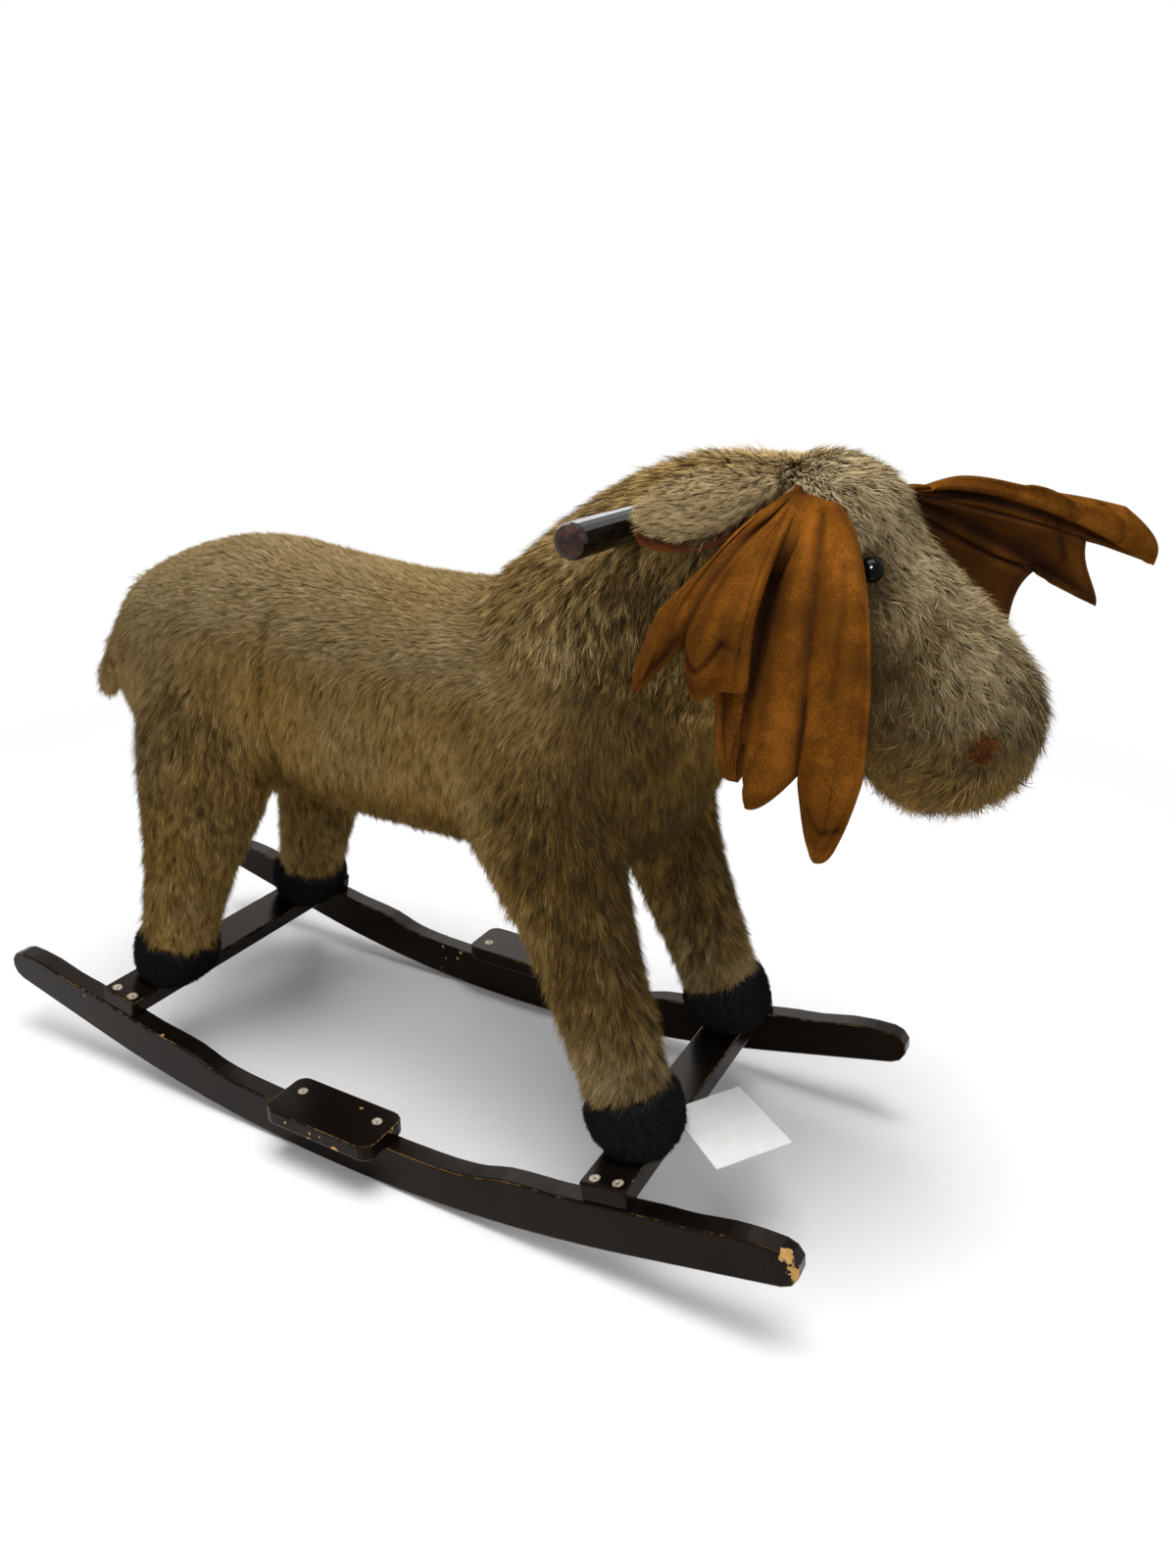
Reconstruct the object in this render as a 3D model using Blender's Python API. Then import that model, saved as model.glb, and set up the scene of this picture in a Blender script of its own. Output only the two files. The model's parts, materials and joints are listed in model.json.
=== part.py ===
"""Plush rocking moose: a stuffed animal on a hidden timber frame, screwed to lacquered wooden rockers.

Metres, +Z up, +X is the way the animal faces. The rockers touch the floor at z = 0.
The construction is laid out from ORIGIN_X, and the frame's origin is under the middle of the whole length.
Soft pieces are lofts through rings. Where two meet, the smaller one is cut back by the larger.
"""
import math

import bmesh
import bpy
from mathutils import Vector
from mathutils.bvhtree import BVHTree

# General
GAP = 0.0003                # clearance between pieces that touch
ORIGIN_X = -0.0603          # puts the frame's origin under the middle of tail tip to antler tip
EDGE = 0.0018               # rounding on the lacquered boards

# Rocking base
BASE_X = 0.003              # middle of the rockers
ROCKER_LENGTH = 0.787       # tip to tip
ARC_RADIUS = 1.122          # curve that rolls on the floor
BOARD = 0.018               # thickness of each rocker
TRACK = 0.300               # over the outer faces of the two rockers
TIP_RADIUS = 0.0145         # rounded rocker ends
MID_DEPTH = 0.0392          # rocker depth under the footrest
WAIST_DEPTH = 0.0360        # depth just outside the footrest
SEAT_DEPTH = 0.0402         # depth under the cross slat
NOSE_DEPTH = 0.0355         # depth beyond the slat
ARC_HALF = 0.270            # the floor arc runs on straight to the tips from here
SLAT_X = 0.250              # middle of the rockers to the middle of a cross slat
SLAT_TILT = math.radians(10.8)
SLAT_LENGTH = TRACK - 0.002
SLAT_WIDTH = 0.038
SLAT_THICKNESS = 0.016
SEAT_HALF = 0.042           # half of the straight seat that a slat is screwed to
REST_SEAT = 0.010           # flat of the rocker beyond each end of its footrest
# top edge from footrest to slat: share of the way, depth of the rocker there
WAIST_KEYS = ((0.30, WAIST_DEPTH), (0.50, WAIST_DEPTH + 0.0012), (0.70, SEAT_DEPTH + 0.0022))
NOSE_SHARES = (0.36, 0.76)  # of the way from the seat to the tip's round
NOSE_END = 2.4              # tip radii from the nose's straight top to the tip

# Footrests
REST_LENGTH = 0.109
REST_WIDTH = 0.049
REST_THICKNESS = 0.014
REST_CORNER = 0.010
REST_OUT = 0.023            # how far a footrest stands out past its rocker

# Screws
SCREW_HEAD = 0.0043         # radius
SCREW_SHANK = 0.0020
SCREW_SINK = 0.0032         # depth of the countersunk head
SCREW_UNDER = 0.0001        # from the wood's face down to a head's face
SCREW_LENGTH = 0.030
SCREW_POINT = 0.005
SCREW_PITCH = 0.019         # between the two screws at each end of a slat
REST_SCREW_PITCH = 0.078
SCREW_SIDES = 10

# Timber frame inside the plush
BOARD_Z = 0.322             # underside of the back board
BACK_LENGTH = 0.392
BACK_WIDTH = 0.160
BACK_THICKNESS = 0.018
BACK_X = -0.008             # middle of the board
BACK_CORNER = 0.030
POST = 0.026                # square leg post
POST_SIDE = 0.004           # from a post's face to the long edge of the back board
POST_END = 0.010            # and to its short edge
POST_SCREW_LENGTH = 0.045
REAR_POST_SHIFT = 0.006     # rear posts stand towards the middle from their slat's middle
NECK_POST_WIDTH = 0.028
NECK_POST_DEPTH = 0.038
NECK_POST_AHEAD = 0.160     # foot of the neck post, ahead of the board's middle
NECK_POST_X = BACK_X + NECK_POST_AHEAD
TORSO_RISE = 0.051          # middle height of the stuffed body, over the board's underside
TORSO_Z = BOARD_Z + TORSO_RISE
HANDLE_AHEAD = 0.228        # of the board's middle
HANDLE_RISE = 0.161         # over the middle height of the body
HANDLE_X = BACK_X + HANDLE_AHEAD
HANDLE_Z = TORSO_Z + HANDLE_RISE
HANDLE_RADIUS = 0.011
HANDLE_LENGTH = 0.300
HANDLE_DOME = 0.0035

# Stuffed torso
TORSO_BEHIND = 0.298        # rump, behind the back board's middle
TORSO_REAR = BACK_X - TORSO_BEHIND
TORSO_LENGTH = 0.568
TORSO_HALF_WIDTH = 0.104
TORSO_HALF_HEIGHT = 0.108
# share of length, rise of the centre, share of half width, share of half height
TORSO_RINGS = (
    (0.000, 0.004, 0.26, 0.26), (0.018, 0.002, 0.50, 0.50), (0.049, -0.001, 0.71, 0.71),
    (0.099, -0.003, 0.86, 0.86), (0.165, 0.000, 0.96, 0.96), (0.257, 0.005, 1.00, 1.00),
    (0.363, 0.000, 0.985, 0.99), (0.468, -0.005, 0.965, 0.985), (0.574, -0.007, 0.955, 0.98),
    (0.680, -0.006, 0.97, 0.99), (0.768, -0.004, 1.00, 1.00), (0.847, -0.002, 0.985, 0.985),
    (0.910, 0.000, 0.90, 0.90), (0.954, 0.002, 0.73, 0.73), (0.982, 0.003, 0.50, 0.50),
    (1.000, 0.004, 0.28, 0.28),
)

# Neck, from the shoulder up to the back of the skull:
# distance ahead of HEAD_X, rise over TORSO_Z, half width, half height
NECK_RINGS = (
    (-0.239, 0.000, 0.058, 0.062), (-0.213, 0.016, 0.080, 0.083), (-0.183, 0.037, 0.088, 0.089),
    (-0.139, 0.073, 0.086, 0.089), (-0.095, 0.108, 0.077, 0.086), (-0.058, 0.133, 0.066, 0.075),
    (-0.025, 0.144, 0.054, 0.058), (0.001, 0.146, 0.036, 0.038),
)

# Head: distance along the line from skull to nose, half width, half height
HEAD_AHEAD = 0.105          # middle of the skull, ahead of the handle
HEAD_X = HANDLE_X + HEAD_AHEAD
HEAD_RISE = 0.144           # skull centre over the torso's middle height
HEAD_PITCH = math.radians(47.2)
HEAD_RINGS = (
    (-0.059, 0.022, 0.022), (-0.047, 0.043, 0.041), (-0.027, 0.057, 0.056), (-0.006, 0.062, 0.062),
    (0.013, 0.060, 0.058), (0.032, 0.055, 0.055), (0.056, 0.052, 0.057), (0.080, 0.053, 0.058),
    (0.105, 0.056, 0.059), (0.130, 0.057, 0.058), (0.150, 0.053, 0.054), (0.166, 0.045, 0.046),
    (0.178, 0.032, 0.032), (0.184, 0.020, 0.020),
)

# Legs: share of the way from foot to hip, half width across, half width fore and aft
FOOT_IN = 0.058             # middle of a hoof, in from the rocker's outer face
FOOT_Y = TRACK / 2 - FOOT_IN
HIP_IN = 0.004              # middle of a hip, in from the edge of the back board
HIP_Y = BACK_WIDTH / 2 - HIP_IN
FRONT_HIP_AHEAD = 0.170     # of the board's middle
REAR_HIP_BEHIND = 0.160
FRONT_HIP_X = BACK_X + FRONT_HIP_AHEAD
REAR_HIP_X = BACK_X - REAR_HIP_BEHIND
FRONT_FOOT_SHIFT = -0.007   # how far a foot stands towards the middle from its slat's middle
REAR_FOOT_SHIFT = 0.009
FRONT_LEG_RINGS = (
    (0.165, 0.034, 0.034), (0.27, 0.035, 0.035), (0.42, 0.037, 0.037), (0.58, 0.039, 0.040),
    (0.72, 0.042, 0.045), (0.84, 0.045, 0.053), (0.95, 0.047, 0.062), (1.08, 0.046, 0.067),
    (1.22, 0.040, 0.060), (1.34, 0.030, 0.044), (1.44, 0.015, 0.022),
)
REAR_LEG_RINGS = (
    (0.165, 0.034, 0.034), (0.26, 0.035, 0.035), (0.42, 0.037, 0.040), (0.58, 0.041, 0.047),
    (0.74, 0.046, 0.058), (0.90, 0.048, 0.067), (1.05, 0.047, 0.073), (1.20, 0.041, 0.068),
    (1.34, 0.030, 0.050), (1.44, 0.015, 0.025),
)
HOOF_HEIGHT = 0.044
# share of height, half width across, half width fore and aft
HOOF_RINGS = (
    (0.00, 0.0280, 0.0240), (0.10, 0.0315, 0.0290), (0.34, 0.0350, 0.0345),
    (0.66, 0.0360, 0.0365), (0.90, 0.0350, 0.0355), (1.00, 0.0325, 0.0325),
)

# Ears: offset from the skull centre on the left side, half width, half thickness
EAR_RINGS = (
    (-0.024, 0.052, 0.055, 0.009, 0.0050), (-0.035, 0.063, 0.051, 0.017, 0.0065),
    (-0.051, 0.077, 0.044, 0.023, 0.0075), (-0.068, 0.090, 0.038, 0.024, 0.0075),
    (-0.082, 0.101, 0.033, 0.018, 0.0065), (-0.091, 0.108, 0.030, 0.009, 0.0045),
)
EAR_ACROSS = Vector((0.19, 0.62, -0.77))     # the way the ear is wide
EAR_TWIST = 3               # rings from the seam on the skull, which is its hinge, to that width
EAR_FLAT = 0.35             # lower side's share of the half thickness
EAR_BEAD = 0.7              # share of the root's thickness left at its sewn end
LINING = 0.0012             # half thickness of the ear lining
LINING_HEM = 0.003          # how far the lining stays inside the ear's edge

# Antlers: root on the seam, middle and end of each rib, as offsets from the skull centre.
# The near one hangs against the cheek, the far one stands forward and away.
ANTLER_HALF = 0.0060        # half thickness of the padding
ANTLER_ROLL = 0.0125        # width of the rounded edge
ANTLER_BEAD = 0.0042        # radius of the sewn root
ANTLER_LIFT = 0.0048        # space between the padding and the head, for each step out from the root
ANTLER_STEPS = 8            # rings from root to edge
ANTLER_QUILT = 0.55         # share of the padding left over a sewn channel
DROOPING_RIBS = (
    ((0.029, 0.056, 0.033), (0.061, 0.088, -0.040), (0.058, 0.096, -0.127)),
    ((0.026, 0.055, 0.034), (0.046, 0.095, -0.052), (0.042, 0.097, -0.165)),
    ((0.020, 0.055, 0.036), (0.026, 0.102, -0.044), (0.026, 0.099, -0.113)),
    ((0.014, 0.054, 0.038), (0.009, 0.103, -0.046), (-0.007, 0.104, -0.139)),
    ((0.008, 0.054, 0.040), (-0.003, 0.090, -0.028), (-0.011, 0.098, -0.086)),
    ((0.005, 0.054, 0.041), (-0.007, 0.086, -0.020), (-0.013, 0.104, -0.121)),
    ((0.003, 0.054, 0.042), (-0.014, 0.104, -0.020), (-0.019, 0.113, -0.064)),
    ((0.001, 0.054, 0.043), (-0.026, 0.101, -0.016), (-0.039, 0.116, -0.068)),
    ((-0.001, 0.053, 0.044), (-0.028, 0.094, -0.004), (-0.046, 0.110, -0.038)),
    ((-0.003, 0.053, 0.045), (-0.043, 0.100, -0.008), (-0.076, 0.114, -0.071)),
    ((-0.005, 0.052, 0.046), (-0.034, 0.084, 0.010), (-0.067, 0.106, -0.025)),
)
STANDING_RIBS = (
    ((0.029, 0.056, 0.033), (0.099, 0.114, 0.040), (0.177, 0.159, 0.023)),
    ((0.026, 0.055, 0.034), (0.100, 0.110, 0.028), (0.186, 0.165, -0.008)),
    ((0.020, 0.055, 0.036), (0.085, 0.104, 0.018), (0.142, 0.141, 0.006)),
    ((0.014, 0.054, 0.038), (0.080, 0.100, 0.003), (0.155, 0.140, -0.039)),
    ((0.008, 0.054, 0.040), (0.060, 0.094, 0.007), (0.108, 0.114, -0.012)),
    ((0.005, 0.054, 0.041), (0.046, 0.088, -0.017), (0.098, 0.106, -0.086)),
    ((0.003, 0.054, 0.042), (0.035, 0.086, -0.017), (0.077, 0.100, -0.050)),
    ((0.001, 0.054, 0.043), (0.025, 0.084, -0.022), (0.057, 0.098, -0.087)),
    ((-0.001, 0.053, 0.044), (0.013, 0.084, -0.012), (0.030, 0.095, -0.054)),
    ((-0.003, 0.053, 0.045), (-0.003, 0.084, -0.017), (0.000, 0.100, -0.082)),
    ((-0.005, 0.052, 0.046), (-0.013, 0.082, -0.002), (-0.015, 0.095, -0.042)),
)
NOTCHES = (2, 4, 6, 8)      # ribs that end in a notch between two tines and carry a sewn channel

# Tail: offset from its root, half width, half thickness
TAIL_ROOT = Vector((TORSO_REAR, 0.0, TORSO_Z + 0.057))
TAIL_RINGS = (
    (0.000, 0.000, 0.012, 0.0060), (-0.012, -0.018, 0.016, 0.0065), (-0.030, -0.044, 0.018, 0.0070),
    (-0.052, -0.074, 0.018, 0.0070), (-0.070, -0.100, 0.015, 0.0060), (-0.079, -0.114, 0.008, 0.0045),
)

# Face
EYE_RADIUS = 0.0078
EYE_SHANK = 0.0022          # radius
EYE_SHANK_LENGTH = 0.014
EYE_CROWN = 0.78            # height of the dome as a share of its radius
EYE_RIM = 0.0008            # thickness of the eye's rim
EYE_SPOT = Vector((0.043, 0.047, 0.000))     # offset from the skull centre
NOSTRIL_SPOT = Vector((0.120, 0.048, -0.096))
NOSTRIL_HALF_LENGTH = 0.0110
NOSTRIL_HALF_WIDTH = 0.0075
NOSTRIL_THICKNESS = 0.0024

# Blank card tag that lies over the front slat: its corner forward and left of the right hoof's middle
TAG_CORNER = (0.0085, 0.041)
TAG_TURN = math.radians(-41.7)
TAG_LENGTH = 0.084
TAG_WIDTH = 0.060
TAG_CLIP = 0.012            # cut off the corner by the hoof
TAG_THICKNESS = 0.0008

COLOURS = {
    "lacquer": ((0.020, 0.013, 0.010), 0.25, 0.0),
    "brass": ((0.60, 0.42, 0.18), 0.40, 0.9),
    "timber": ((0.52, 0.36, 0.19), 0.65, 0.0),
    "plush": ((0.215, 0.160, 0.085), 0.90, 0.0),
    "hoof_plush": ((0.008, 0.008, 0.009), 0.85, 0.0),
    "suede": ((0.320, 0.105, 0.018), 0.80, 0.0),
    "lining": ((0.200, 0.055, 0.020), 0.85, 0.0),
    "eye": ((0.004, 0.004, 0.004), 0.08, 0.0),
    "felt": ((0.300, 0.060, 0.025), 0.90, 0.0),
    "card": ((0.800, 0.800, 0.790), 0.70, 0.0),
}


def material(name):
    """Principled material with the finish of one of the object's stuffs."""
    if name in bpy.data.materials:
        return bpy.data.materials[name]
    colour, roughness, metallic = COLOURS[name]
    made = bpy.data.materials.new(name)
    made.use_nodes = True
    shader = made.node_tree.nodes["Principled BSDF"]
    shader.inputs["Base Color"].default_value = (*colour, 1.0)
    shader.inputs["Roughness"].default_value = roughness
    shader.inputs["Metallic"].default_value = metallic
    return made


def add_object(name, bm, stuff, parent, pivot=None, smooth=40.0):
    """Turn a bmesh into a named object under its parent, with its origin on the pivot."""
    bmesh.ops.recalc_face_normals(bm, faces=bm.faces[:])
    if pivot is not None:
        bmesh.ops.translate(bm, verts=bm.verts[:], vec=-pivot)
    mesh = bpy.data.meshes.new(name)
    bm.to_mesh(mesh)
    bm.free()
    mesh.materials.append(material(stuff))
    mesh.shade_smooth()
    mesh.set_sharp_from_angle(angle=math.radians(smooth))
    made = bpy.data.objects.new(name, mesh)
    bpy.context.scene.collection.objects.link(made)
    made.parent = parent
    if pivot is not None:
        made.location = pivot
    return made


def cutter_from(source, clearance):
    """Guide object: the source's own mesh, grown evenly by the clearance."""
    bm = bmesh.new()
    bm.from_mesh(source.data)
    bm.normal_update()
    moves = [(v, v.normal * clearance * v.calc_shell_factor()) for v in bm.verts]
    for vert, move in moves:
        vert.co += move
    mesh = bpy.data.meshes.new(source.name + "_cutter")
    bm.to_mesh(mesh)
    bm.free()
    guide = bpy.data.objects.new(mesh.name, mesh)
    bpy.context.scene.collection.objects.link(guide)
    guide.parent = source.parent
    guide.location = source.location
    guide.hide_render = True
    guide.display_type = "WIRE"
    return guide


def cut(target, *sources, clearance=GAP):
    """Cut the target back from each source, with clearance."""
    for source in sources:
        cutter = cutter_from(source, clearance)
        step = target.modifiers.new("cut_by_" + source.name, "BOOLEAN")
        step.operation = "DIFFERENCE"
        step.solver = "EXACT"
        step.object = cutter


def round_edges(target, width=EDGE, segments=2):
    """Bevel the sharp edges of a board."""
    step = target.modifiers.new("rounding", "BEVEL")
    step.width = width
    step.segments = segments
    step.limit_method = "ANGLE"
    step.angle_limit = math.radians(50)


def spline(keys, count):
    """Sample a Catmull-Rom curve through tuples of numbers at evenly spaced parameters."""
    samples = []
    last = len(keys) - 1
    for step in range(count):
        place = last * step / (count - 1)
        i = min(int(place), last - 1)
        t = place - i
        a, b, c, d = (keys[max(i - 1, 0)], keys[i], keys[i + 1], keys[min(i + 2, last)])
        samples.append(tuple(
            q + 0.5 * (r - p) * t + (p - 2.5 * q + 2 * r - 0.5 * s) * t ** 2
            + 0.5 * (3 * q - p - 3 * r + s) * t ** 3
            for p, q, r, s in zip(a, b, c, d)
        ))
    return samples


def loft(rings, sides, poles=(0.0, 0.0), squareness=2.0, flats=None):
    """Closed solid through rings of (centre, along, across, half across, half up).

    A pole lift of 0 closes that end with a flat face.
    Each flat trims its ring's lower half to a share of its height.
    """
    bm = bmesh.new()
    loops = []
    for index, (centre, along, across, half_across, half_up) in enumerate(rings):
        side = (across - along * across.dot(along)).normalized()
        up = side.cross(along).normalized()
        loop = []
        for k in range(sides):
            angle = 2 * math.pi * (k + 0.5) / sides
            x = math.copysign(abs(math.cos(angle)) ** (2 / squareness), math.cos(angle))
            y = math.copysign(abs(math.sin(angle)) ** (2 / squareness), math.sin(angle))
            if flats is not None:
                y = max(y, -flats[index])
            loop.append(bm.verts.new(centre + side * half_across * x + up * half_up * y))
        loops.append(loop)
    for lower, upper in zip(loops, loops[1:]):
        for k in range(sides):
            bm.faces.new((lower[k], lower[(k + 1) % sides], upper[(k + 1) % sides], upper[k]))
    for loop, ring, lift in ((loops[0], rings[0], -poles[0]), (loops[-1], rings[-1], poles[1])):
        if lift == 0.0:
            bm.faces.new(loop)
            continue
        pole = bm.verts.new(ring[0] + ring[1] * lift)
        for k in range(sides):
            bm.faces.new((loop[k], loop[(k + 1) % sides], pole))
    bmesh.ops.triangulate(bm, faces=bm.faces[:])
    return bm


def along_path(points):
    """Unit direction of the path at each of its points."""
    last = len(points) - 1
    return [(points[min(i + 1, last)] - points[max(i - 1, 0)]).normalized() for i in range(last + 1)]


def revolve(profile, sides, centre, axis):
    """Closed solid turned from (radius, distance along the axis) points, with poles at both ends."""
    bm = bmesh.new()
    turn = axis.to_track_quat("Z", "Y").to_matrix()
    loops = []
    for radius, distance in profile[1:-1]:
        loop = []
        for k in range(sides):
            angle = 2 * math.pi * k / sides
            spoke = Vector((radius * math.cos(angle), radius * math.sin(angle), distance))
            loop.append(bm.verts.new(centre + turn @ spoke))
        loops.append(loop)
    ends = [bm.verts.new(centre + turn @ Vector((0, 0, profile[i][1]))) for i in (0, -1)]
    for lower, upper in zip(loops, loops[1:]):
        for k in range(sides):
            bm.faces.new((lower[k], lower[(k + 1) % sides], upper[(k + 1) % sides], upper[k]))
    for pole, loop in zip(ends, (loops[0], loops[-1])):
        for k in range(sides):
            bm.faces.new((pole, loop[k], loop[(k + 1) % sides]))
    return bm


def extrude_outline(outline, direction, to_world):
    """Flat outline pushed along a direction. to_world places each (u, v) point."""
    bm = bmesh.new()
    face = bm.faces.new([bm.verts.new(to_world(u, v)) for u, v in outline])
    grown = bmesh.ops.extrude_face_region(bm, geom=[face])
    top = [item for item in grown["geom"] if isinstance(item, bmesh.types.BMVert)]
    bmesh.ops.translate(bm, verts=top, vec=direction)
    return bm


def surface_of(target):
    """Search tree over an object's own mesh, before its cuts."""
    bm = bmesh.new()
    bm.from_mesh(target.data)
    bmesh.ops.translate(bm, verts=bm.verts[:], vec=target.location)
    tree = BVHTree.FromBMesh(bm)
    bm.free()
    return tree


def seated(tree, point, lift):
    """The point moved to stand off the surface by the lift, and the surface's normal there."""
    spot, normal, _, _ = tree.find_nearest(point)
    return spot + normal * lift, normal


def clear_of(tree, point, lift):
    """The point itself, or pushed out to the lift where it is nearer to the surface than that."""
    spot, normal, _, _ = tree.find_nearest(point)
    return point if (point - spot).dot(normal) > lift else spot + normal * lift


# Rocking base

def arc_z(x):
    """Height of a rocker's underside at a distance from its middle: an arc, then its tangent."""
    on_arc = min(x, ARC_HALF)
    rise = math.sqrt(ARC_RADIUS ** 2 - on_arc ** 2)
    return ARC_RADIUS - rise + (x - on_arc) * on_arc / rise


def rocker_half():
    """Top edge from the middle to the tip, then the tip's round, then the floor arc back to the middle."""
    seat_z = arc_z(SLAT_X) + SEAT_DEPTH
    rise = math.tan(SLAT_TILT)
    seat_in, seat_out = SLAT_X - SEAT_HALF, SLAT_X + SEAT_HALF
    rest_end = REST_LENGTH / 2 + REST_SEAT
    keys = [(rest_end, MID_DEPTH)]
    shoulder = seat_in - rest_end
    for share, depth in WAIST_KEYS:
        x = rest_end + shoulder * share
        keys.append((x, arc_z(x) + depth))
    keys.append((seat_in, seat_z - SEAT_HALF * rise))
    top = spline(keys, 12)
    nose_end = ROCKER_LENGTH / 2 - NOSE_END * TIP_RADIUS
    beyond = [(seat_out, seat_z + SEAT_HALF * rise)]
    for share in NOSE_SHARES:
        x = seat_out + (nose_end - seat_out) * share
        beyond.append((x, arc_z(x) + NOSE_DEPTH))
    reach = ROCKER_LENGTH / 2 - TIP_RADIUS
    lean = math.asin(ARC_HALF / ARC_RADIUS)
    tip = (reach, arc_z(reach) + TIP_RADIUS / math.cos(lean))
    beyond.append((nose_end + 0.4 * TIP_RADIUS, tip[1] + TIP_RADIUS * 0.98))
    top += spline(beyond, 7)
    start, end = math.radians(88), lean - math.pi / 2
    for k in range(6):
        angle = start + (end - start) * k / 5
        top.append((tip[0] + TIP_RADIUS * math.cos(angle), tip[1] + TIP_RADIUS * math.sin(angle)))
    return top + [(x, arc_z(x)) for x in (ARC_HALF * (1 - k / 9) for k in range(9))]


def rocker(side, parent):
    """One shaped board. side is -1 for the animal's right and 1 for its left."""
    half = rocker_half()
    outline = half + [(0.0, 0.0)] + [(-x, z) for x, z in reversed(half)]
    inner = side * (TRACK / 2 - BOARD)
    bm = extrude_outline(
        outline, Vector((0, side * BOARD, 0)), lambda u, v: Vector((BASE_X + u, inner, v)))
    name = "rocker_right" if side < 0 else "rocker_left"
    made = add_object(name, bm, "lacquer", parent)
    round_edges(made)
    return made


def slat_frame(end):
    """Middle of a slat's underside, its outward direction and its normal. end is 1 in front, -1 behind."""
    seat = Vector((BASE_X + end * SLAT_X, 0, arc_z(SLAT_X) + SEAT_DEPTH))
    outward = Vector((end * math.cos(SLAT_TILT), 0, math.sin(SLAT_TILT)))
    normal = Vector((-end * math.sin(SLAT_TILT), 0, math.cos(SLAT_TILT)))
    return seat + normal * GAP, outward, normal


def cross_slat(end, parent):
    """Board across the two rockers."""
    seat, outward, normal = slat_frame(end)
    half = SLAT_WIDTH / 2
    corners = [(-half, 0), (half, 0), (half, SLAT_THICKNESS), (-half, SLAT_THICKNESS)]
    bm = extrude_outline(
        corners, Vector((0, SLAT_LENGTH, 0)),
        lambda u, v: seat + outward * u + normal * v - Vector((0, SLAT_LENGTH / 2, 0)))
    made = add_object("cross_slat_front" if end > 0 else "cross_slat_rear", bm, "lacquer", parent)
    round_edges(made)
    return made


def rounded_rectangle(length, width, radius, steps=4):
    """Outline of a rectangle with round corners, centred on nothing."""
    points = []
    for cx, cy, start in ((1, 1, 0), (-1, 1, 90), (-1, -1, 180), (1, -1, 270)):
        for k in range(steps + 1):
            angle = math.radians(start + 90 * k / steps)
            points.append((
                cx * (length / 2 - radius) + radius * math.cos(angle),
                cy * (width / 2 - radius) + radius * math.sin(angle),
            ))
    return points


def rest_y():
    """Middle of a footrest, out from the animal's middle."""
    return TRACK / 2 + REST_OUT - REST_WIDTH / 2


def footrest(side, parent):
    """Rounded board on the middle of a rocker."""
    bm = extrude_outline(
        rounded_rectangle(REST_LENGTH, REST_WIDTH, REST_CORNER), Vector((0, 0, REST_THICKNESS)),
        lambda u, v: Vector((BASE_X + u, side * rest_y() + v, MID_DEPTH + GAP)))
    made = add_object("footrest_right" if side < 0 else "footrest_left", bm, "lacquer", parent)
    round_edges(made)
    return made


def screw(head, axis, length):
    """Countersunk wood screw: middle of the head's face, and the direction it points."""
    profile = [
        (0, 0), (SCREW_HEAD, 0), (SCREW_SHANK, SCREW_SINK),
        (SCREW_SHANK, length - SCREW_POINT), (0, length),
    ]
    return revolve(profile, SCREW_SIDES, head, axis)


def slat_screws(end, side, parent):
    """Two screws at one end of a slat, into the rocker under it."""
    seat, outward, normal = slat_frame(end)
    made = []
    for word, step in (("inner", -0.5), ("outer", 0.5)):
        head = seat + outward * SCREW_PITCH * step + normal * (SLAT_THICKNESS - SCREW_UNDER)
        head += Vector((0, side * (TRACK - BOARD) / 2, 0))
        name = leg_name("slat_screw", end, side) + "_" + word
        made.append(add_object(name, screw(head, -normal, SCREW_LENGTH), "brass", parent))
    return made


def footrest_screws(side, parent):
    """Two screws down through a footrest."""
    made = []
    top = MID_DEPTH + GAP + REST_THICKNESS
    for word, step in (("rear", -0.5), ("front", 0.5)):
        head = Vector((
            BASE_X + step * REST_SCREW_PITCH, side * (TRACK - BOARD) / 2, top - SCREW_UNDER))
        name = "footrest_screw_%s_%s" % (word, "right" if side < 0 else "left")
        made.append(add_object(name, screw(head, Vector((0, 0, -1)), SCREW_LENGTH), "brass", parent))
    return made


# Timber frame

def foot_point(end, side, shift=0.0):
    """Where a leg stands on its slat's top face, a shift towards the animal's middle."""
    seat, outward, normal = slat_frame(end)
    return seat - outward * shift + normal * (SLAT_THICKNESS + GAP) + Vector((0, side * FOOT_Y, 0))


def post_foot(end, side):
    """Middle of a leg post's lower end."""
    return foot_point(end, side, REAR_POST_SHIFT if end < 0 else 0.0)


def back_board(parent):
    """Board that carries the rider."""
    bm = extrude_outline(
        rounded_rectangle(BACK_LENGTH, BACK_WIDTH, BACK_CORNER), Vector((0, 0, BACK_THICKNESS)),
        lambda u, v: Vector((BACK_X + u, v, BOARD_Z)))
    return add_object("back_board", bm, "timber", parent)


def leg_name(kind, end, side):
    """Node name of a leg's piece."""
    return "%s_%s_%s" % (kind, "front" if end > 0 else "rear", "right" if side < 0 else "left")


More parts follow.
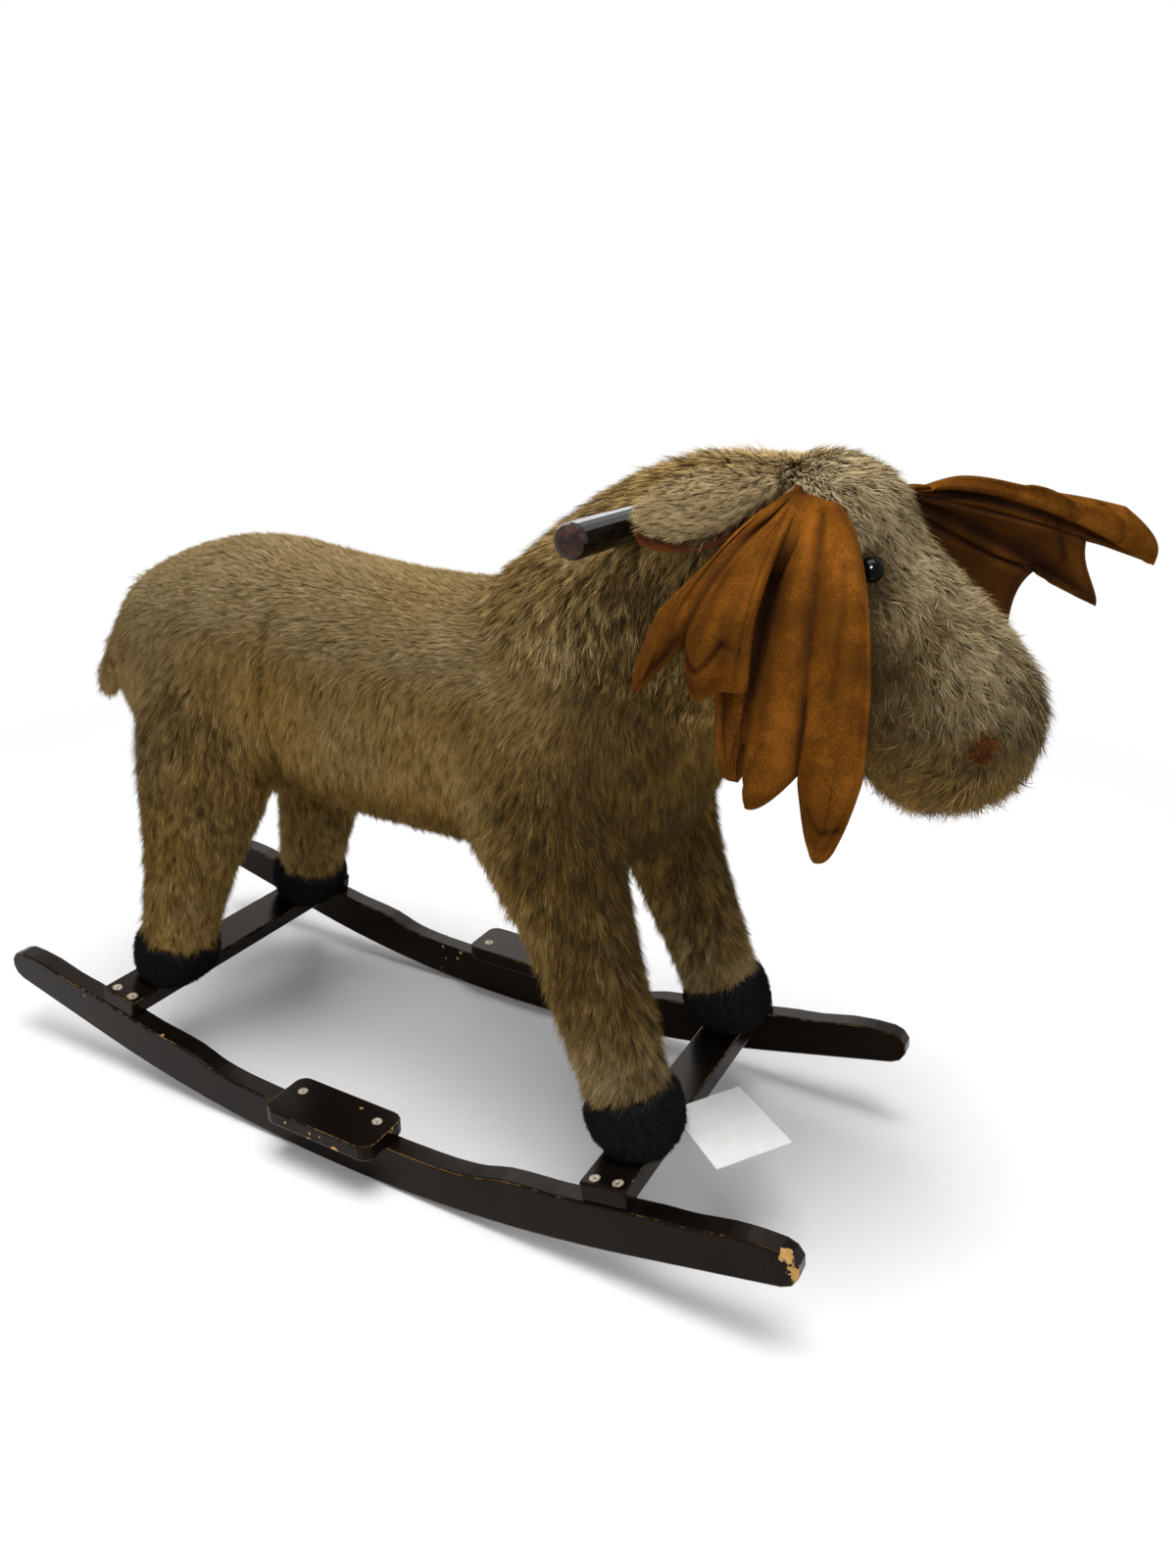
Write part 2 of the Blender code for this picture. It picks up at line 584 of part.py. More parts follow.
def leg_post(end, side, parent):
    """Square post from the slat up to the back board, splayed both ways."""
    foot = post_foot(end, side)
    _, _, normal = slat_frame(end)
    top = Vector((
        BACK_X + end * (BACK_LENGTH / 2 - POST / 2 - POST_END),
        side * (BACK_WIDTH / 2 - POST / 2 - POST_SIDE),
        BOARD_Z - GAP,
    ))
    axis = top - foot
    bm = bmesh.new()
    low, high = [], []
    for u, v in ((-1, -1), (1, -1), (1, 1), (-1, 1)):
        corner = top + Vector((u, v, 0)) * POST / 2
        reach = (corner - foot).dot(normal) / axis.dot(normal)
        high.append(bm.verts.new(corner))
        low.append(bm.verts.new(corner - axis * reach))
    bm.faces.new(high)
    bm.faces.new(low)
    for k in range(4):
        bm.faces.new((low[k], low[(k + 1) % 4], high[(k + 1) % 4], high[k]))
    return add_object(leg_name("leg_post", end, side), bm, "timber", parent)


def post_screw(end, side, parent):
    """Long screw up through the slat into a leg post."""
    _, _, normal = slat_frame(end)
    head = post_foot(end, side) - normal * (SLAT_THICKNESS + GAP - SCREW_UNDER)
    solid = screw(head, normal, POST_SCREW_LENGTH)
    return add_object(leg_name("post_screw", end, side), solid, "brass", parent)


def neck_post(parent):
    """Post from the back board up to the handle, round over the handle."""
    foot = Vector((NECK_POST_X, 0, BOARD_Z + BACK_THICKNESS + GAP))
    hub = Vector((HANDLE_X, 0, HANDLE_Z))
    axis = (hub - foot).normalized()
    back = Vector((axis.z, 0, -axis.x))
    half = NECK_POST_DEPTH / 2
    outline = []
    for k in range(9):
        angle = math.pi * k / 8
        outline.append(hub + back * half * math.cos(angle) + axis * half * math.sin(angle))
    for sign in (-1, 1):
        corner = hub + back * half * sign
        outline.append(corner - axis * (corner.z - foot.z) / axis.z)
    bm = bmesh.new()
    face = bm.faces.new([bm.verts.new(p - Vector((0, NECK_POST_WIDTH / 2, 0))) for p in outline])
    grown = bmesh.ops.extrude_face_region(bm, geom=[face])
    verts = [item for item in grown["geom"] if isinstance(item, bmesh.types.BMVert)]
    bmesh.ops.translate(bm, verts=verts, vec=Vector((0, NECK_POST_WIDTH, 0)))
    return add_object("neck_post", bm, "timber", parent)


def handle_bar(parent):
    """Round dowel through the neck, with softly domed ends."""
    half, r = HANDLE_LENGTH / 2, HANDLE_RADIUS
    profile = [(0, -half), (r * 0.62, -half + HANDLE_DOME * 0.25), (r * 0.90, -half + HANDLE_DOME * 0.65),
               (r, -half + HANDLE_DOME * 1.5)]
    profile += [(radius, -distance) for radius, distance in reversed(profile)]
    bm = revolve(profile, 20, Vector((HANDLE_X, 0, HANDLE_Z)), Vector((0, 1, 0)))
    return add_object("handle_bar", bm, "lacquer", parent)


# Plush

def torso(parent):
    """Stuffed rump, barrel and chest."""
    samples = spline(TORSO_RINGS, 21)
    rings = [
        (Vector((TORSO_REAR + share * TORSO_LENGTH, 0, TORSO_Z + rise)), Vector((1, 0, 0)),
         Vector((0, 1, 0)), TORSO_HALF_WIDTH * wide, TORSO_HALF_HEIGHT * high)
        for share, rise, wide, high in samples
    ]
    return add_object("torso", loft(rings, 24, (0.004, 0.005), 2.1), "plush", parent)


def neck(parent):
    """Stuffed shoulder hump and neck."""
    samples = spline(NECK_RINGS, 12)
    points = [Vector((HEAD_X + x, 0, TORSO_Z + rise)) for x, rise, _, _ in samples]
    rings = [
        (point, along, Vector((0, 1, 0)), wide, high)
        for point, along, (_, _, wide, high) in zip(points, along_path(points), samples)
    ]
    return add_object("neck", loft(rings, 22, (0.010, 0.006)), "plush", parent)


def skull_centre():
    """Centre of the skull, which the head's parts are placed from."""
    return Vector((HEAD_X, 0, TORSO_Z + HEAD_RISE))


def head(parent):
    """Stuffed head: skull, bridge and round muzzle."""
    nose_way = Vector((math.cos(HEAD_PITCH), 0, -math.sin(HEAD_PITCH)))
    rings = [
        (skull_centre() + nose_way * distance, nose_way, Vector((0, 1, 0)), wide, high)
        for distance, wide, high in spline(HEAD_RINGS, 18)
    ]
    return add_object("head", loft(rings, 22, (0.004, 0.004)), "plush", parent)


def leg_line(end, side):
    """Foot and hip of a plush leg."""
    foot = foot_point(end, side, REAR_FOOT_SHIFT if end < 0 else FRONT_FOOT_SHIFT)
    hip_x = FRONT_HIP_X if end > 0 else REAR_HIP_X
    return foot, Vector((hip_x, side * HIP_Y, BOARD_Z))


def leg(end, side, parent):
    """Stuffed leg, from the top of its hoof into the shoulder or haunch."""
    foot, hip = leg_line(end, side)
    keys = FRONT_LEG_RINGS if end > 0 else REAR_LEG_RINGS
    axis = (hip - foot).normalized()
    start = (HOOF_HEIGHT + GAP) / (hip - foot).length
    low, high = keys[0][0], keys[-1][0]
    rings = []
    for share, across, fore_aft in spline(keys, 12):
        share = start + (high - start) * (share - low) / (high - low)
        rings.append((foot.lerp(hip, share), axis, Vector((0, 1, 0)), across, fore_aft))
    return add_object(leg_name("leg", end, side), loft(rings, 18, (0.0, 0.004)), "plush", parent)


def hoof(end, side, parent):
    """Short-pile hoof: its sole lies on the slat and its top is square to the leg."""
    foot, hip = leg_line(end, side)
    _, _, normal = slat_frame(end)
    axis = (hip - foot).normalized()
    rings = []
    for share, across, fore_aft in HOOF_RINGS:
        along = normal.lerp(axis, share).normalized()
        rings.append((foot + axis * HOOF_HEIGHT * share, along, Vector((0, 1, 0)), across, fore_aft))
    return add_object(leg_name("hoof", end, side), loft(rings, 18, squareness=2.5), "hoof_plush", parent)


def ear_rings(side, tree):
    """Rings of an ear whose round root stands just off the skull."""
    flip = Vector((1, side, 1))
    across = EAR_ACROSS * flip * side
    samples = spline(EAR_RINGS, 8)
    points = [skull_centre() + Vector((x, y, z)) * flip for x, y, z, _, _ in samples]
    root, normal = seated(tree, points[0], samples[0][4] + GAP)
    points = [point + root - points[0] for point in points]
    ways = along_path(points)
    hinge = ways[0].cross(normal).normalized()
    if hinge.dot(across) < 0:
        hinge.negate()
    return [
        (point, along, hinge.lerp(across, min(1.0, i / EAR_TWIST)), wide, thick)
        for i, (point, along, (_, _, _, wide, thick)) in enumerate(zip(points, ways, samples))
    ]


def ear(side, parent, tree):
    """Plush ear, crowned above and nearly flat below."""
    rings = ear_rings(side, tree)
    root, along, across, wide, radius = rings[0]
    rings.insert(0, (root - along * radius * EAR_BEAD, along, across, wide * EAR_BEAD, radius * EAR_BEAD))
    flats = [1.0, 1.0, (1.0 + EAR_FLAT) / 2] + [EAR_FLAT] * (len(rings) - 3)
    name = "ear_right" if side < 0 else "ear_left"
    return add_object(name, loft(rings, 14, (radius * 0.3, 0.003), flats=flats), "plush", parent, root)


def ear_lining(side, parent, tree):
    """Thin lining sewn under the ear, from just outside its root."""
    outer = ear_rings(side, tree)
    rings = []
    for point, along, across, wide, thick in outer[2:]:
        sideways = (across - along * across.dot(along)).normalized()
        up = sideways.cross(along).normalized()
        spot = point - up * (EAR_FLAT * thick + LINING + GAP)
        rings.append((spot, along, across, wide - LINING_HEM, LINING))
    name = "ear_lining_right" if side < 0 else "ear_lining_left"
    return add_object(name, loft(rings, 14, (0.0, 0.001), 3.0), "lining", parent, outer[0][0])


def rib_curve(root, knee, end, share):
    """Point on the rib: a parabola through its root, middle and end."""
    control = knee * 2 - (root + end) / 2
    return root * (1 - share) ** 2 + control * 2 * share * (1 - share) + end * share ** 2


def distance_to_line(point, line):
    """Shortest distance from a point to a chain of points."""
    nearest = 1.0
    for a, b in zip(line, line[1:]):
        run = b - a
        t = max(0.0, min(1.0, (point - a).dot(run) / max(run.length_squared, 1e-12)))
        nearest = min(nearest, (point - a - run * t).length)
    return nearest


def antler_keys(side, ribs, tree):
    """Ribs in place: their roots lie on one straight seam that touches the skull at its middle."""
    flip = Vector((1, side, 1))
    keys = [[skull_centre() + Vector(point) * flip for point in rib] for rib in ribs]
    middle, normal = seated(tree, keys[len(keys) // 2][0], ANTLER_BEAD + GAP)
    seam = keys[-1][0] - keys[0][0]
    seam = (seam - normal * seam.dot(normal)).normalized()
    for rib in keys:
        rib[0] = middle + seam * (rib[0] - middle).dot(seam)
    return keys, middle


def padding(point, edge, quilted):
    """Half thickness of an antler at a point: round at its edge, pinched over a sewn channel."""
    depth = min(distance_to_line(point, edge) / ANTLER_ROLL, 1.0)
    half = ANTLER_HALF * math.sqrt(max(0.0, 1 - (1 - depth) ** 2))
    return half * ANTLER_QUILT if quilted else half


def bridge(bm, *verts):
    """Face through the vertices that differ."""
    corners = list(dict.fromkeys(verts))
    if len(corners) > 2:
        bm.faces.new(corners)


def antler(side, ribs, parent, tree):
    """Padded palmate antler: ribs fan out from the sewn root to tines and notches."""
    keys, pivot = antler_keys(side, ribs, tree)
    columns = []
    channels = set()
    for i, (rib, after) in enumerate(zip(keys, keys[1:])):
        if i in NOTCHES:
            channels.add(len(columns))
        count = 3 if i in (0, len(keys) - 2) else 2
        for k in range(count):
            columns.append([a.lerp(b, k / count) for a, b in zip(rib, after)])
    columns.append(keys[-1])
    grid = []
    for root, knee, end in columns:
        curve = [root]
        for step in range(1, ANTLER_STEPS + 1):
            point = rib_curve(root, knee, end, step / ANTLER_STEPS)
            curve.append(clear_of(tree, point, ANTLER_HALF + ANTLER_LIFT * min(step, 2)))
        grid.append(curve)
    edge = grid[0] + [column[-1] for column in grid[1:-1]] + list(reversed(grid[-1]))
    bm = bmesh.new()
    front, back, root = [], [], []
    last = len(grid) - 1
    for i, column in enumerate(grid):
        ahead, behind = grid[min(i + 1, last)], grid[max(i - 1, 0)]
        sheets = ([], [])
        for j, point in enumerate(column):
            run = column[min(j + 1, ANTLER_STEPS)] - column[max(j - 1, 0)]
            normal = run.cross(ahead[j] - behind[j]).normalized()
            if i in (0, last) or j == ANTLER_STEPS:
                rim = bm.verts.new(point)
                sheets[0].append(rim)
                sheets[1].append(rim)
                continue
            half = padding(point, edge, i in channels) if j else ANTLER_BEAD
            sheets[0].append(bm.verts.new(point + normal * half))
            sheets[1].append(bm.verts.new(point - normal * half))
        front.append(sheets[0])
        back.append(sheets[1])
        inward = (column[0] - column[1]).normalized() * ANTLER_BEAD
        root.append(sheets[0][0] if i in (0, last) else bm.verts.new(column[0] + inward))
    for i in range(last):
        for j in range(ANTLER_STEPS):
            for sheet in (front, back):
                bridge(bm, sheet[i][j], sheet[i + 1][j], sheet[i + 1][j + 1], sheet[i][j + 1])
        bridge(bm, front[i][0], root[i], root[i + 1], front[i + 1][0])
        bridge(bm, back[i][0], root[i], root[i + 1], back[i + 1][0])
    bmesh.ops.triangulate(bm, faces=bm.faces[:])
    return add_object("antler_right" if side < 0 else "antler_left", bm, "suede", parent, pivot, 60.0)


def tail(parent, tree):
    """Flat stuffed tail that hangs from a sewn root at the back of the rump."""
    radius = TAIL_RINGS[0][3]
    pivot, _ = seated(tree, TAIL_ROOT, radius + GAP)
    samples = spline(TAIL_RINGS, 8)
    points = [pivot + Vector((x, 0, z)) for x, z, _, _ in samples]
    rings = [
        (point, along, Vector((0, 1, 0)), wide, thick)
        for point, along, (_, _, wide, thick) in zip(points, along_path(points), samples)
    ]
    return add_object("tail", loft(rings, 12, (radius * 0.7, 0.004)), "plush", parent, pivot)


def eye(side, parent, tree):
    """Domed safety eye with a shank that goes into the head."""
    spot, normal = seated(tree, skull_centre() + EYE_SPOT * Vector((1, side, 1)), GAP)
    profile = [
        (0, -EYE_SHANK_LENGTH), (EYE_SHANK, -EYE_SHANK_LENGTH), (EYE_SHANK, -GAP), (EYE_RADIUS - EYE_RIM / 2, 0),
    ]
    height = EYE_RADIUS * EYE_CROWN
    for degrees in (8, 24, 41, 57, 74):
        angle = math.radians(degrees)
        profile.append((EYE_RADIUS * math.cos(angle), EYE_RIM + height * math.sin(angle)))
    profile.append((0, EYE_RIM + height))
    name = "eye_right" if side < 0 else "eye_left"
    return add_object(name, revolve(profile, 18, spot, normal), "eye", parent)


def nostril_patch(side, parent, tree):
    """Oval felt patch sewn on the muzzle."""
    spot, normal = seated(tree, skull_centre() + NOSTRIL_SPOT * Vector((1, side, 1)), GAP)
    rings = [
        (spot + normal * height, normal, Vector((0.35, 0, 1)).normalized(),
         NOSTRIL_HALF_LENGTH * share, NOSTRIL_HALF_WIDTH * share)
        for height, share in ((0.0, 0.90), (NOSTRIL_THICKNESS * 0.5, 1.0), (NOSTRIL_THICKNESS, 0.82))
    ]
    name = "nostril_patch_right" if side < 0 else "nostril_patch_left"
    return add_object(name, loft(rings, 14), "felt", parent)


def hang_tag(parent):
    """Blank card with one corner cut off, lying on the front slat beside the hoof."""
    seat, outward, normal = slat_frame(1)
    top = seat + normal * (SLAT_THICKNESS + GAP)
    along = outward * math.cos(TAG_TURN) + Vector((0, math.sin(TAG_TURN), 0))
    across = normal.cross(along)
    corner = top + outward * TAG_CORNER[0] + Vector((0, TAG_CORNER[1] - FOOT_Y, 0))
    outline = [
        (TAG_CLIP, 0), (TAG_LENGTH, 0), (TAG_LENGTH, TAG_WIDTH), (0, TAG_WIDTH), (0, TAG_CLIP),
    ]
    bm = extrude_outline(outline, normal * TAG_THICKNESS, lambda u, v: corner + along * u + across * v)
    return add_object("hang_tag", bm, "card", parent)


def build():
    """Clear the scene and make every piece."""
    for item in list(bpy.data.objects):
        bpy.data.objects.remove(item, do_unlink=True)
    root = bpy.data.objects.new("rocking_moose", None)
    bpy.context.scene.collection.objects.link(root)
    root.location = (ORIGIN_X, 0, 0)

    sides, corners = (-1, 1), [(end, side) for end in (1, -1) for side in (-1, 1)]
    slats = {end: cross_slat(end, root) for end in (1, -1)}
    board, riser, handle = back_board(root), neck_post(root), handle_bar(root)
    posts = {corner: leg_post(*corner, root) for corner in corners}
    body, throat, face = torso(root), neck(root), head(root)
    hang_tag(root)
    for side in sides:
        plank, rest, screws = rocker(side, root), footrest(side, root), footrest_screws(side, root)
        cut(rest, *screws)
        cut(plank, *screws)
        for end, slat in slats.items():
            screws = slat_screws(end, side, root)
            cut(slat, *screws)
            cut(plank, *screws)
    cut(riser, handle)
    cut(body, board, riser, *posts.values())
    cut(throat, body, riser, handle)
    cut(face, throat)
    for (end, side), post in posts.items():
        long_screw = post_screw(end, side, root)
        cut(slats[end], long_screw)
        cut(post, long_screw)
        cut(leg(end, side, root), body, throat, post)
        cut(hoof(end, side, root), post, long_screw)
    skull, rump = surface_of(face), surface_of(body)
    for side, ribs in zip(sides, (DROOPING_RIBS, STANDING_RIBS)):
        ear(side, root, skull)
        ear_lining(side, root, skull)
        antler(side, ribs, root, skull)
        cut(face, eye(side, root, skull))
        cut(nostril_patch(side, root, skull), face)
    tail(root, rump)


build()
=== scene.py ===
"""Looks of a plush rocking moose: fur, suede antlers, lacquered rockers and the studio it stands in.

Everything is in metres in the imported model's frame: +X is the way the animal faces, +Y its left
side, +Z up, and the rockers touch the floor at z = 0.
"""

import json
import logging
import math
from collections.abc import Iterable
from dataclasses import dataclass, field
from enum import Enum

import bmesh
import bpy
import numpy as np
from bmesh.types import BMesh, BMFace, BMVert
from bpy.types import Material, Mesh, Node, NodeSocket, NodeTree, Object
from mathutils import Matrix, Vector, noise
from mathutils.bvhtree import BVHTree

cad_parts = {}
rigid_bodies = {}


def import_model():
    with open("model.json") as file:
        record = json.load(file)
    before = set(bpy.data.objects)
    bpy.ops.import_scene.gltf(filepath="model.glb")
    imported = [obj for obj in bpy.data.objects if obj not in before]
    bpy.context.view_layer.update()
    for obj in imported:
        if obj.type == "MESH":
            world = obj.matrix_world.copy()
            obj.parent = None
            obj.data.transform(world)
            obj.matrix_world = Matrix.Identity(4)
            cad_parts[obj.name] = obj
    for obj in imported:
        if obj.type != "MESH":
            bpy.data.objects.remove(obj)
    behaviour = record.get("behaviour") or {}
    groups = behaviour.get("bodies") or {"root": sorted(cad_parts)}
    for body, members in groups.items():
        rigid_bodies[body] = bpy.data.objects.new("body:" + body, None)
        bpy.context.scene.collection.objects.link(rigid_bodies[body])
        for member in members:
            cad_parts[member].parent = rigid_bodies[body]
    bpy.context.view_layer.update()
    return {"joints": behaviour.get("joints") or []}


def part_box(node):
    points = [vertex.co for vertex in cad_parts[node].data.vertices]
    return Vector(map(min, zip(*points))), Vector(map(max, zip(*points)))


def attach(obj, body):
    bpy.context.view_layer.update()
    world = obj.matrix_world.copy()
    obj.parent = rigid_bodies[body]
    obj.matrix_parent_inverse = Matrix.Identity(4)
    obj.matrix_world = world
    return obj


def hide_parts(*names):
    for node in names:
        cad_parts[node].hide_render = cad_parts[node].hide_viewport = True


LOG = logging.getLogger("moose")
MM = 0.001
SIDES = {"right": -1.0, "left": 1.0}
BODY = "moose"
GAP = 0.3 * MM                    # between pieces that touch
MERGE = 1e-5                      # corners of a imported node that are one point
PIECE_TRIANGLES = 190_000         # in one piece of fur
FEWEST_TUFTS = 50                 # in one piece of fur
# Faces of a tuft, the height of each of its points and the place of each across it.
BENT = (([0, 3, 2, 1], [3, 4, 2]), (0.0, 0.0, 0.55, 0.55, 1.0), (-0.5, 0.5, 0.5, -0.5, 0.0))
STRAIGHT = (([0, 2, 1],), (0.0, 0.0, 1.0), (-0.5, 0.5, 0.0))
HASH = (73856093, 19349663, 83492791)   # large primes that mix a cell's three numbers into one
AGE_BANDS = 8                     # of the small map that the pile's colour is baked on
STRIP_WIDTH = 0.004               # of one tuft on that map
TUFT_FIELDS = ("length", "lift", "mess", "clump", "age", "tone")
FACE = 1e-6                       # what lies less deep than this is on a screw's face


class Zone(Enum):
    """Parts of the coat, each combed and cut in its own way."""

    BACK = "back"
    FLANK = "flank"
    BELLY = "belly"
    NECK = "neck"
    SKULL = "skull"
    MUZZLE = "muzzle"
    LEG = "leg"


# Colour and nodes


def linear(code: str) -> tuple[float, float, float, float]:
    """Turn an sRGB hex colour into linear light.

    Args:
        code: six hex digits with a leading #.

    Returns:
        Red, green, blue and an alpha of 1.
    """
    parts = [int(code[i:i + 2], 16) / 255 for i in (1, 3, 5)]
    light = [c / 12.92 if c <= 0.04045 else ((c + 0.055) / 1.055) ** 2.4 for c in parts]
    return light[0], light[1], light[2], 1.0


def plug(node: Node, inputs: dict) -> None:
    """Fill a node's inputs.

    Args:
        node: the node.
        inputs: socket name or number to a value, or to the node or output that is linked to it.
    """
    for key, value in inputs.items():
        if isinstance(value, Node):
            value = value.outputs[0]
        if isinstance(value, NodeSocket):
            node.id_data.links.new(value, node.inputs[key])
        else:
            node.inputs[key].default_value = value


def add_node(tree: NodeTree, kind: str, inputs: dict | None = None,
             stops: Iterable[tuple[float, str]] = (), **settings: str | bool | int) -> Node:
    """Add one node with its settings and inputs.

    Args:
        tree: the tree that gets the node.
        kind: Blender's name of the node type, after its first word.
        inputs: what plug() takes.
        stops: place and hex colour of each stop of a ramp.
        settings: properties of the node.

    Returns:
        The new node.
    """
    node = tree.nodes.new("ShaderNode" + kind)
    for key, value in settings.items():
        setattr(node, key, value)
    stops = list(stops)
    for _ in stops[2:]:
        node.color_ramp.elements.new(0.5)
    if stops:
        for element, (place, code) in zip(node.color_ramp.elements, stops):
            element.position = place
            element.color = linear(code)
    plug(node, inputs or {})
    return node


def new_material(name: str) -> tuple[Material, NodeTree, Node]:
    """Make an empty node material.

    Args:
        name: the finish, in a maker's words.

    Returns:
        The material, its tree and its Principled shader.
    """
    made = bpy.data.materials.new(name)
    made.use_nodes = True
    return made, made.node_tree, made.node_tree.nodes["Principled BSDF"]


# Finishes

# Chips in the lacquer, where the photograph shows them: middle and radius in millimetres.
CHIPS = (
    (328.4, -149.2, 90.5, 12), (333.0, -150.0, 77.0, 10), (-253.4, -147.5, 59.0, 2.2),
    (-350.7, -150.0, 70.1, 2.4), (-149.1, 132.0, 37.4, 2.6), (-145.9, 132.0, 23.9, 2.0),
    (-152.9, 132.0, 11.0, 2.4), (-126.5, 132.0, 36.9, 2.8), (-130.6, 132.0, 28.5, 2.4),
    (-39.3, -134.6, 53.5, 3.4), (-2.8, -141.8, 50.7, 5.5), (-36.1, -173.0, 39.8, 6.0),
    (-63.0, -173.0, 39.8, 3.6), (-118.0, -166.0, 39.8, 4.5), (-87.1, -173.0, 46.7, 2.2),
    (-61.2, -173.0, 46.4, 2.2), (-51.0, -173.0, 46.7, 2.2),
)


@dataclass(frozen=True)
class Lacquer:
    """Espresso nitrocellulose lacquer, sprayed on solid rubberwood: near black, glossy, chipped."""

    name: str = "espresso_lacquer"
    film: tuple[str, str] = ("#0A0705", "#15100B")
    wood: tuple[str, str] = ("#9A6E3A", "#C59C60")
    edge_radius: float = 2.2 * MM         # how far a worn edge reaches
    grain_width: float = 1.6 * MM
    chips: tuple[tuple[float, float, float, float], ...] = CHIPS

    def build(self) -> Material:
        """Build the lacquer with grain under it, edge wear and the chips listed.

        Returns:
            The material.
        """
        made, tree, shader = new_material(self.name)
        place = add_node(tree, "TexCoord").outputs["Object"]
        along = add_node(tree, "Mapping", {"Vector": place, "Scale": (0.06, 1.0, 1.0)})
        grain, clouds, flakes, patches = (
            add_node(tree, "TexNoise", {
                "Vector": where, "Scale": scale, "Detail": detail, "Roughness": rough})
            for where, scale, detail, rough in (
                (along.outputs[0], 0.5 / self.grain_width, 4.0, 0.6), (place, 22.0, 5.0, 0.55),
                (place, 120.0, 3.0, 0.7), (place, 17.0, 1.0, 0.5)))
        film = add_node(tree, "ValToRGB", {"Fac": clouds}, zip((0.35, 0.75), self.film))
        bare = add_node(tree, "ValToRGB", {"Fac": grain}, zip((0.3, 0.6), self.wood))
        # An edge is where the rounded normal leaves the true one.
        rounded = add_node(tree, "Bevel", {"Radius": self.edge_radius}, samples=6)
        true = add_node(tree, "NewGeometry").outputs["Normal"]
        same = add_node(tree, "VectorMath", {0: rounded, 1: true}, operation="DOT_PRODUCT")
        edge = add_node(tree, "MapRange", {
            "Value": same.outputs["Value"], "From Min": 0.995, "From Max": 0.90})
        patchy = add_node(tree, "Math", {0: patches, 1: 0.9, 2: -0.45}, operation="MULTIPLY_ADD")
        mixed = add_node(tree, "Math", {0: flakes, 1: patchy}, operation="ADD")
        mask = add_node(tree, "Math", {0: mixed, 1: edge}, operation="MULTIPLY")
        for spot in self.chips:
            *middle, radius = (value * MM for value in spot)
            reach = add_node(tree, "VectorMath", {0: place, 1: middle}, operation="DISTANCE")
            near = add_node(tree, "MapRange", {
                "Value": reach.outputs["Value"], "From Min": radius * 1.5, "From Max": radius * 0.4})
            torn = add_node(tree, "Math", {0: near, 1: flakes}, operation="MULTIPLY")
            grown = add_node(tree, "Math", {0: torn, 1: 1.25}, operation="MULTIPLY")
            mask = add_node(tree, "Math", {0: mask, 1: grown}, operation="MAXIMUM")
        chip = add_node(tree, "MapRange", {"Value": mask, "From Min": 0.50, "From Max": 0.54})
        colour = add_node(tree, "Mix", {"Factor": chip, 6: film, 7: bare}, data_type="RGBA")
        shine = add_node(tree, "MapRange", {"Value": chip, "To Min": 0.24, "To Max": 0.75})
        telegraph = add_node(tree, "Bump", {"Strength": 0.12, "Distance": 0.2 * MM, "Height": grain})
        sunk = add_node(tree, "Bump", {"Strength": 0.6, "Distance": 0.4 * MM, "Height": chip,
                                       "Normal": telegraph}, invert=True)
        plug(shader, {"Base Color": colour.outputs[2], "Roughness": shine, "Normal": sunk, "IOR": 1.5,
                      "Specular IOR Level": 0.12, "Specular Tint": linear("#CFAA88")})
        return made


@dataclass(frozen=True)
class HandleLacquer:
    """Black lacquer on a beech dowel, polished by hands: rubbed to dark red-brown at both ends."""

    name: str = "handle_lacquer"
    film: str = "#0F0B0A"
    rubbed: tuple[str, str] = ("#1E0B05", "#44200E")
    end: float = 0.1462                   # the rubbed end starts this far from the middle

    def build(self) -> Material:
        """Build the dowel's lacquer.

        Returns:
            The material.
        """
        made, tree, shader = new_material(self.name)
        place = add_node(tree, "TexCoord").outputs["Object"]
        axes = add_node(tree, "SeparateXYZ", {"Vector": place})
        out = add_node(tree, "Math", {0: axes.outputs["Y"]}, operation="ABSOLUTE")
        blots = add_node(tree, "TexNoise", {
            "Vector": place, "Scale": 210.0, "Detail": 4.0, "Roughness": 0.65})
        shifted = add_node(tree, "Math", {0: blots, 1: 3.0 * MM, 2: out}, operation="MULTIPLY_ADD")
        rub = add_node(tree, "MapRange", {
            "Value": shifted, "From Min": self.end + 1.2 * MM, "From Max": self.end + 2.6 * MM})
        stain = add_node(tree, "ValToRGB", {"Fac": blots}, zip((0.42, 0.68), self.rubbed))
        colour = add_node(tree, "Mix", {"Factor": rub, 6: linear(self.film), 7: stain}, data_type="RGBA")
        shine = add_node(tree, "MapRange", {
            "Value": blots, "From Min": 0.3, "From Max": 0.8, "To Min": 0.05, "To Max": 0.20})
        plug(shader, {"Base Color": colour.outputs[2], "Roughness": shine, "Specular IOR Level": 0.26})
        return made


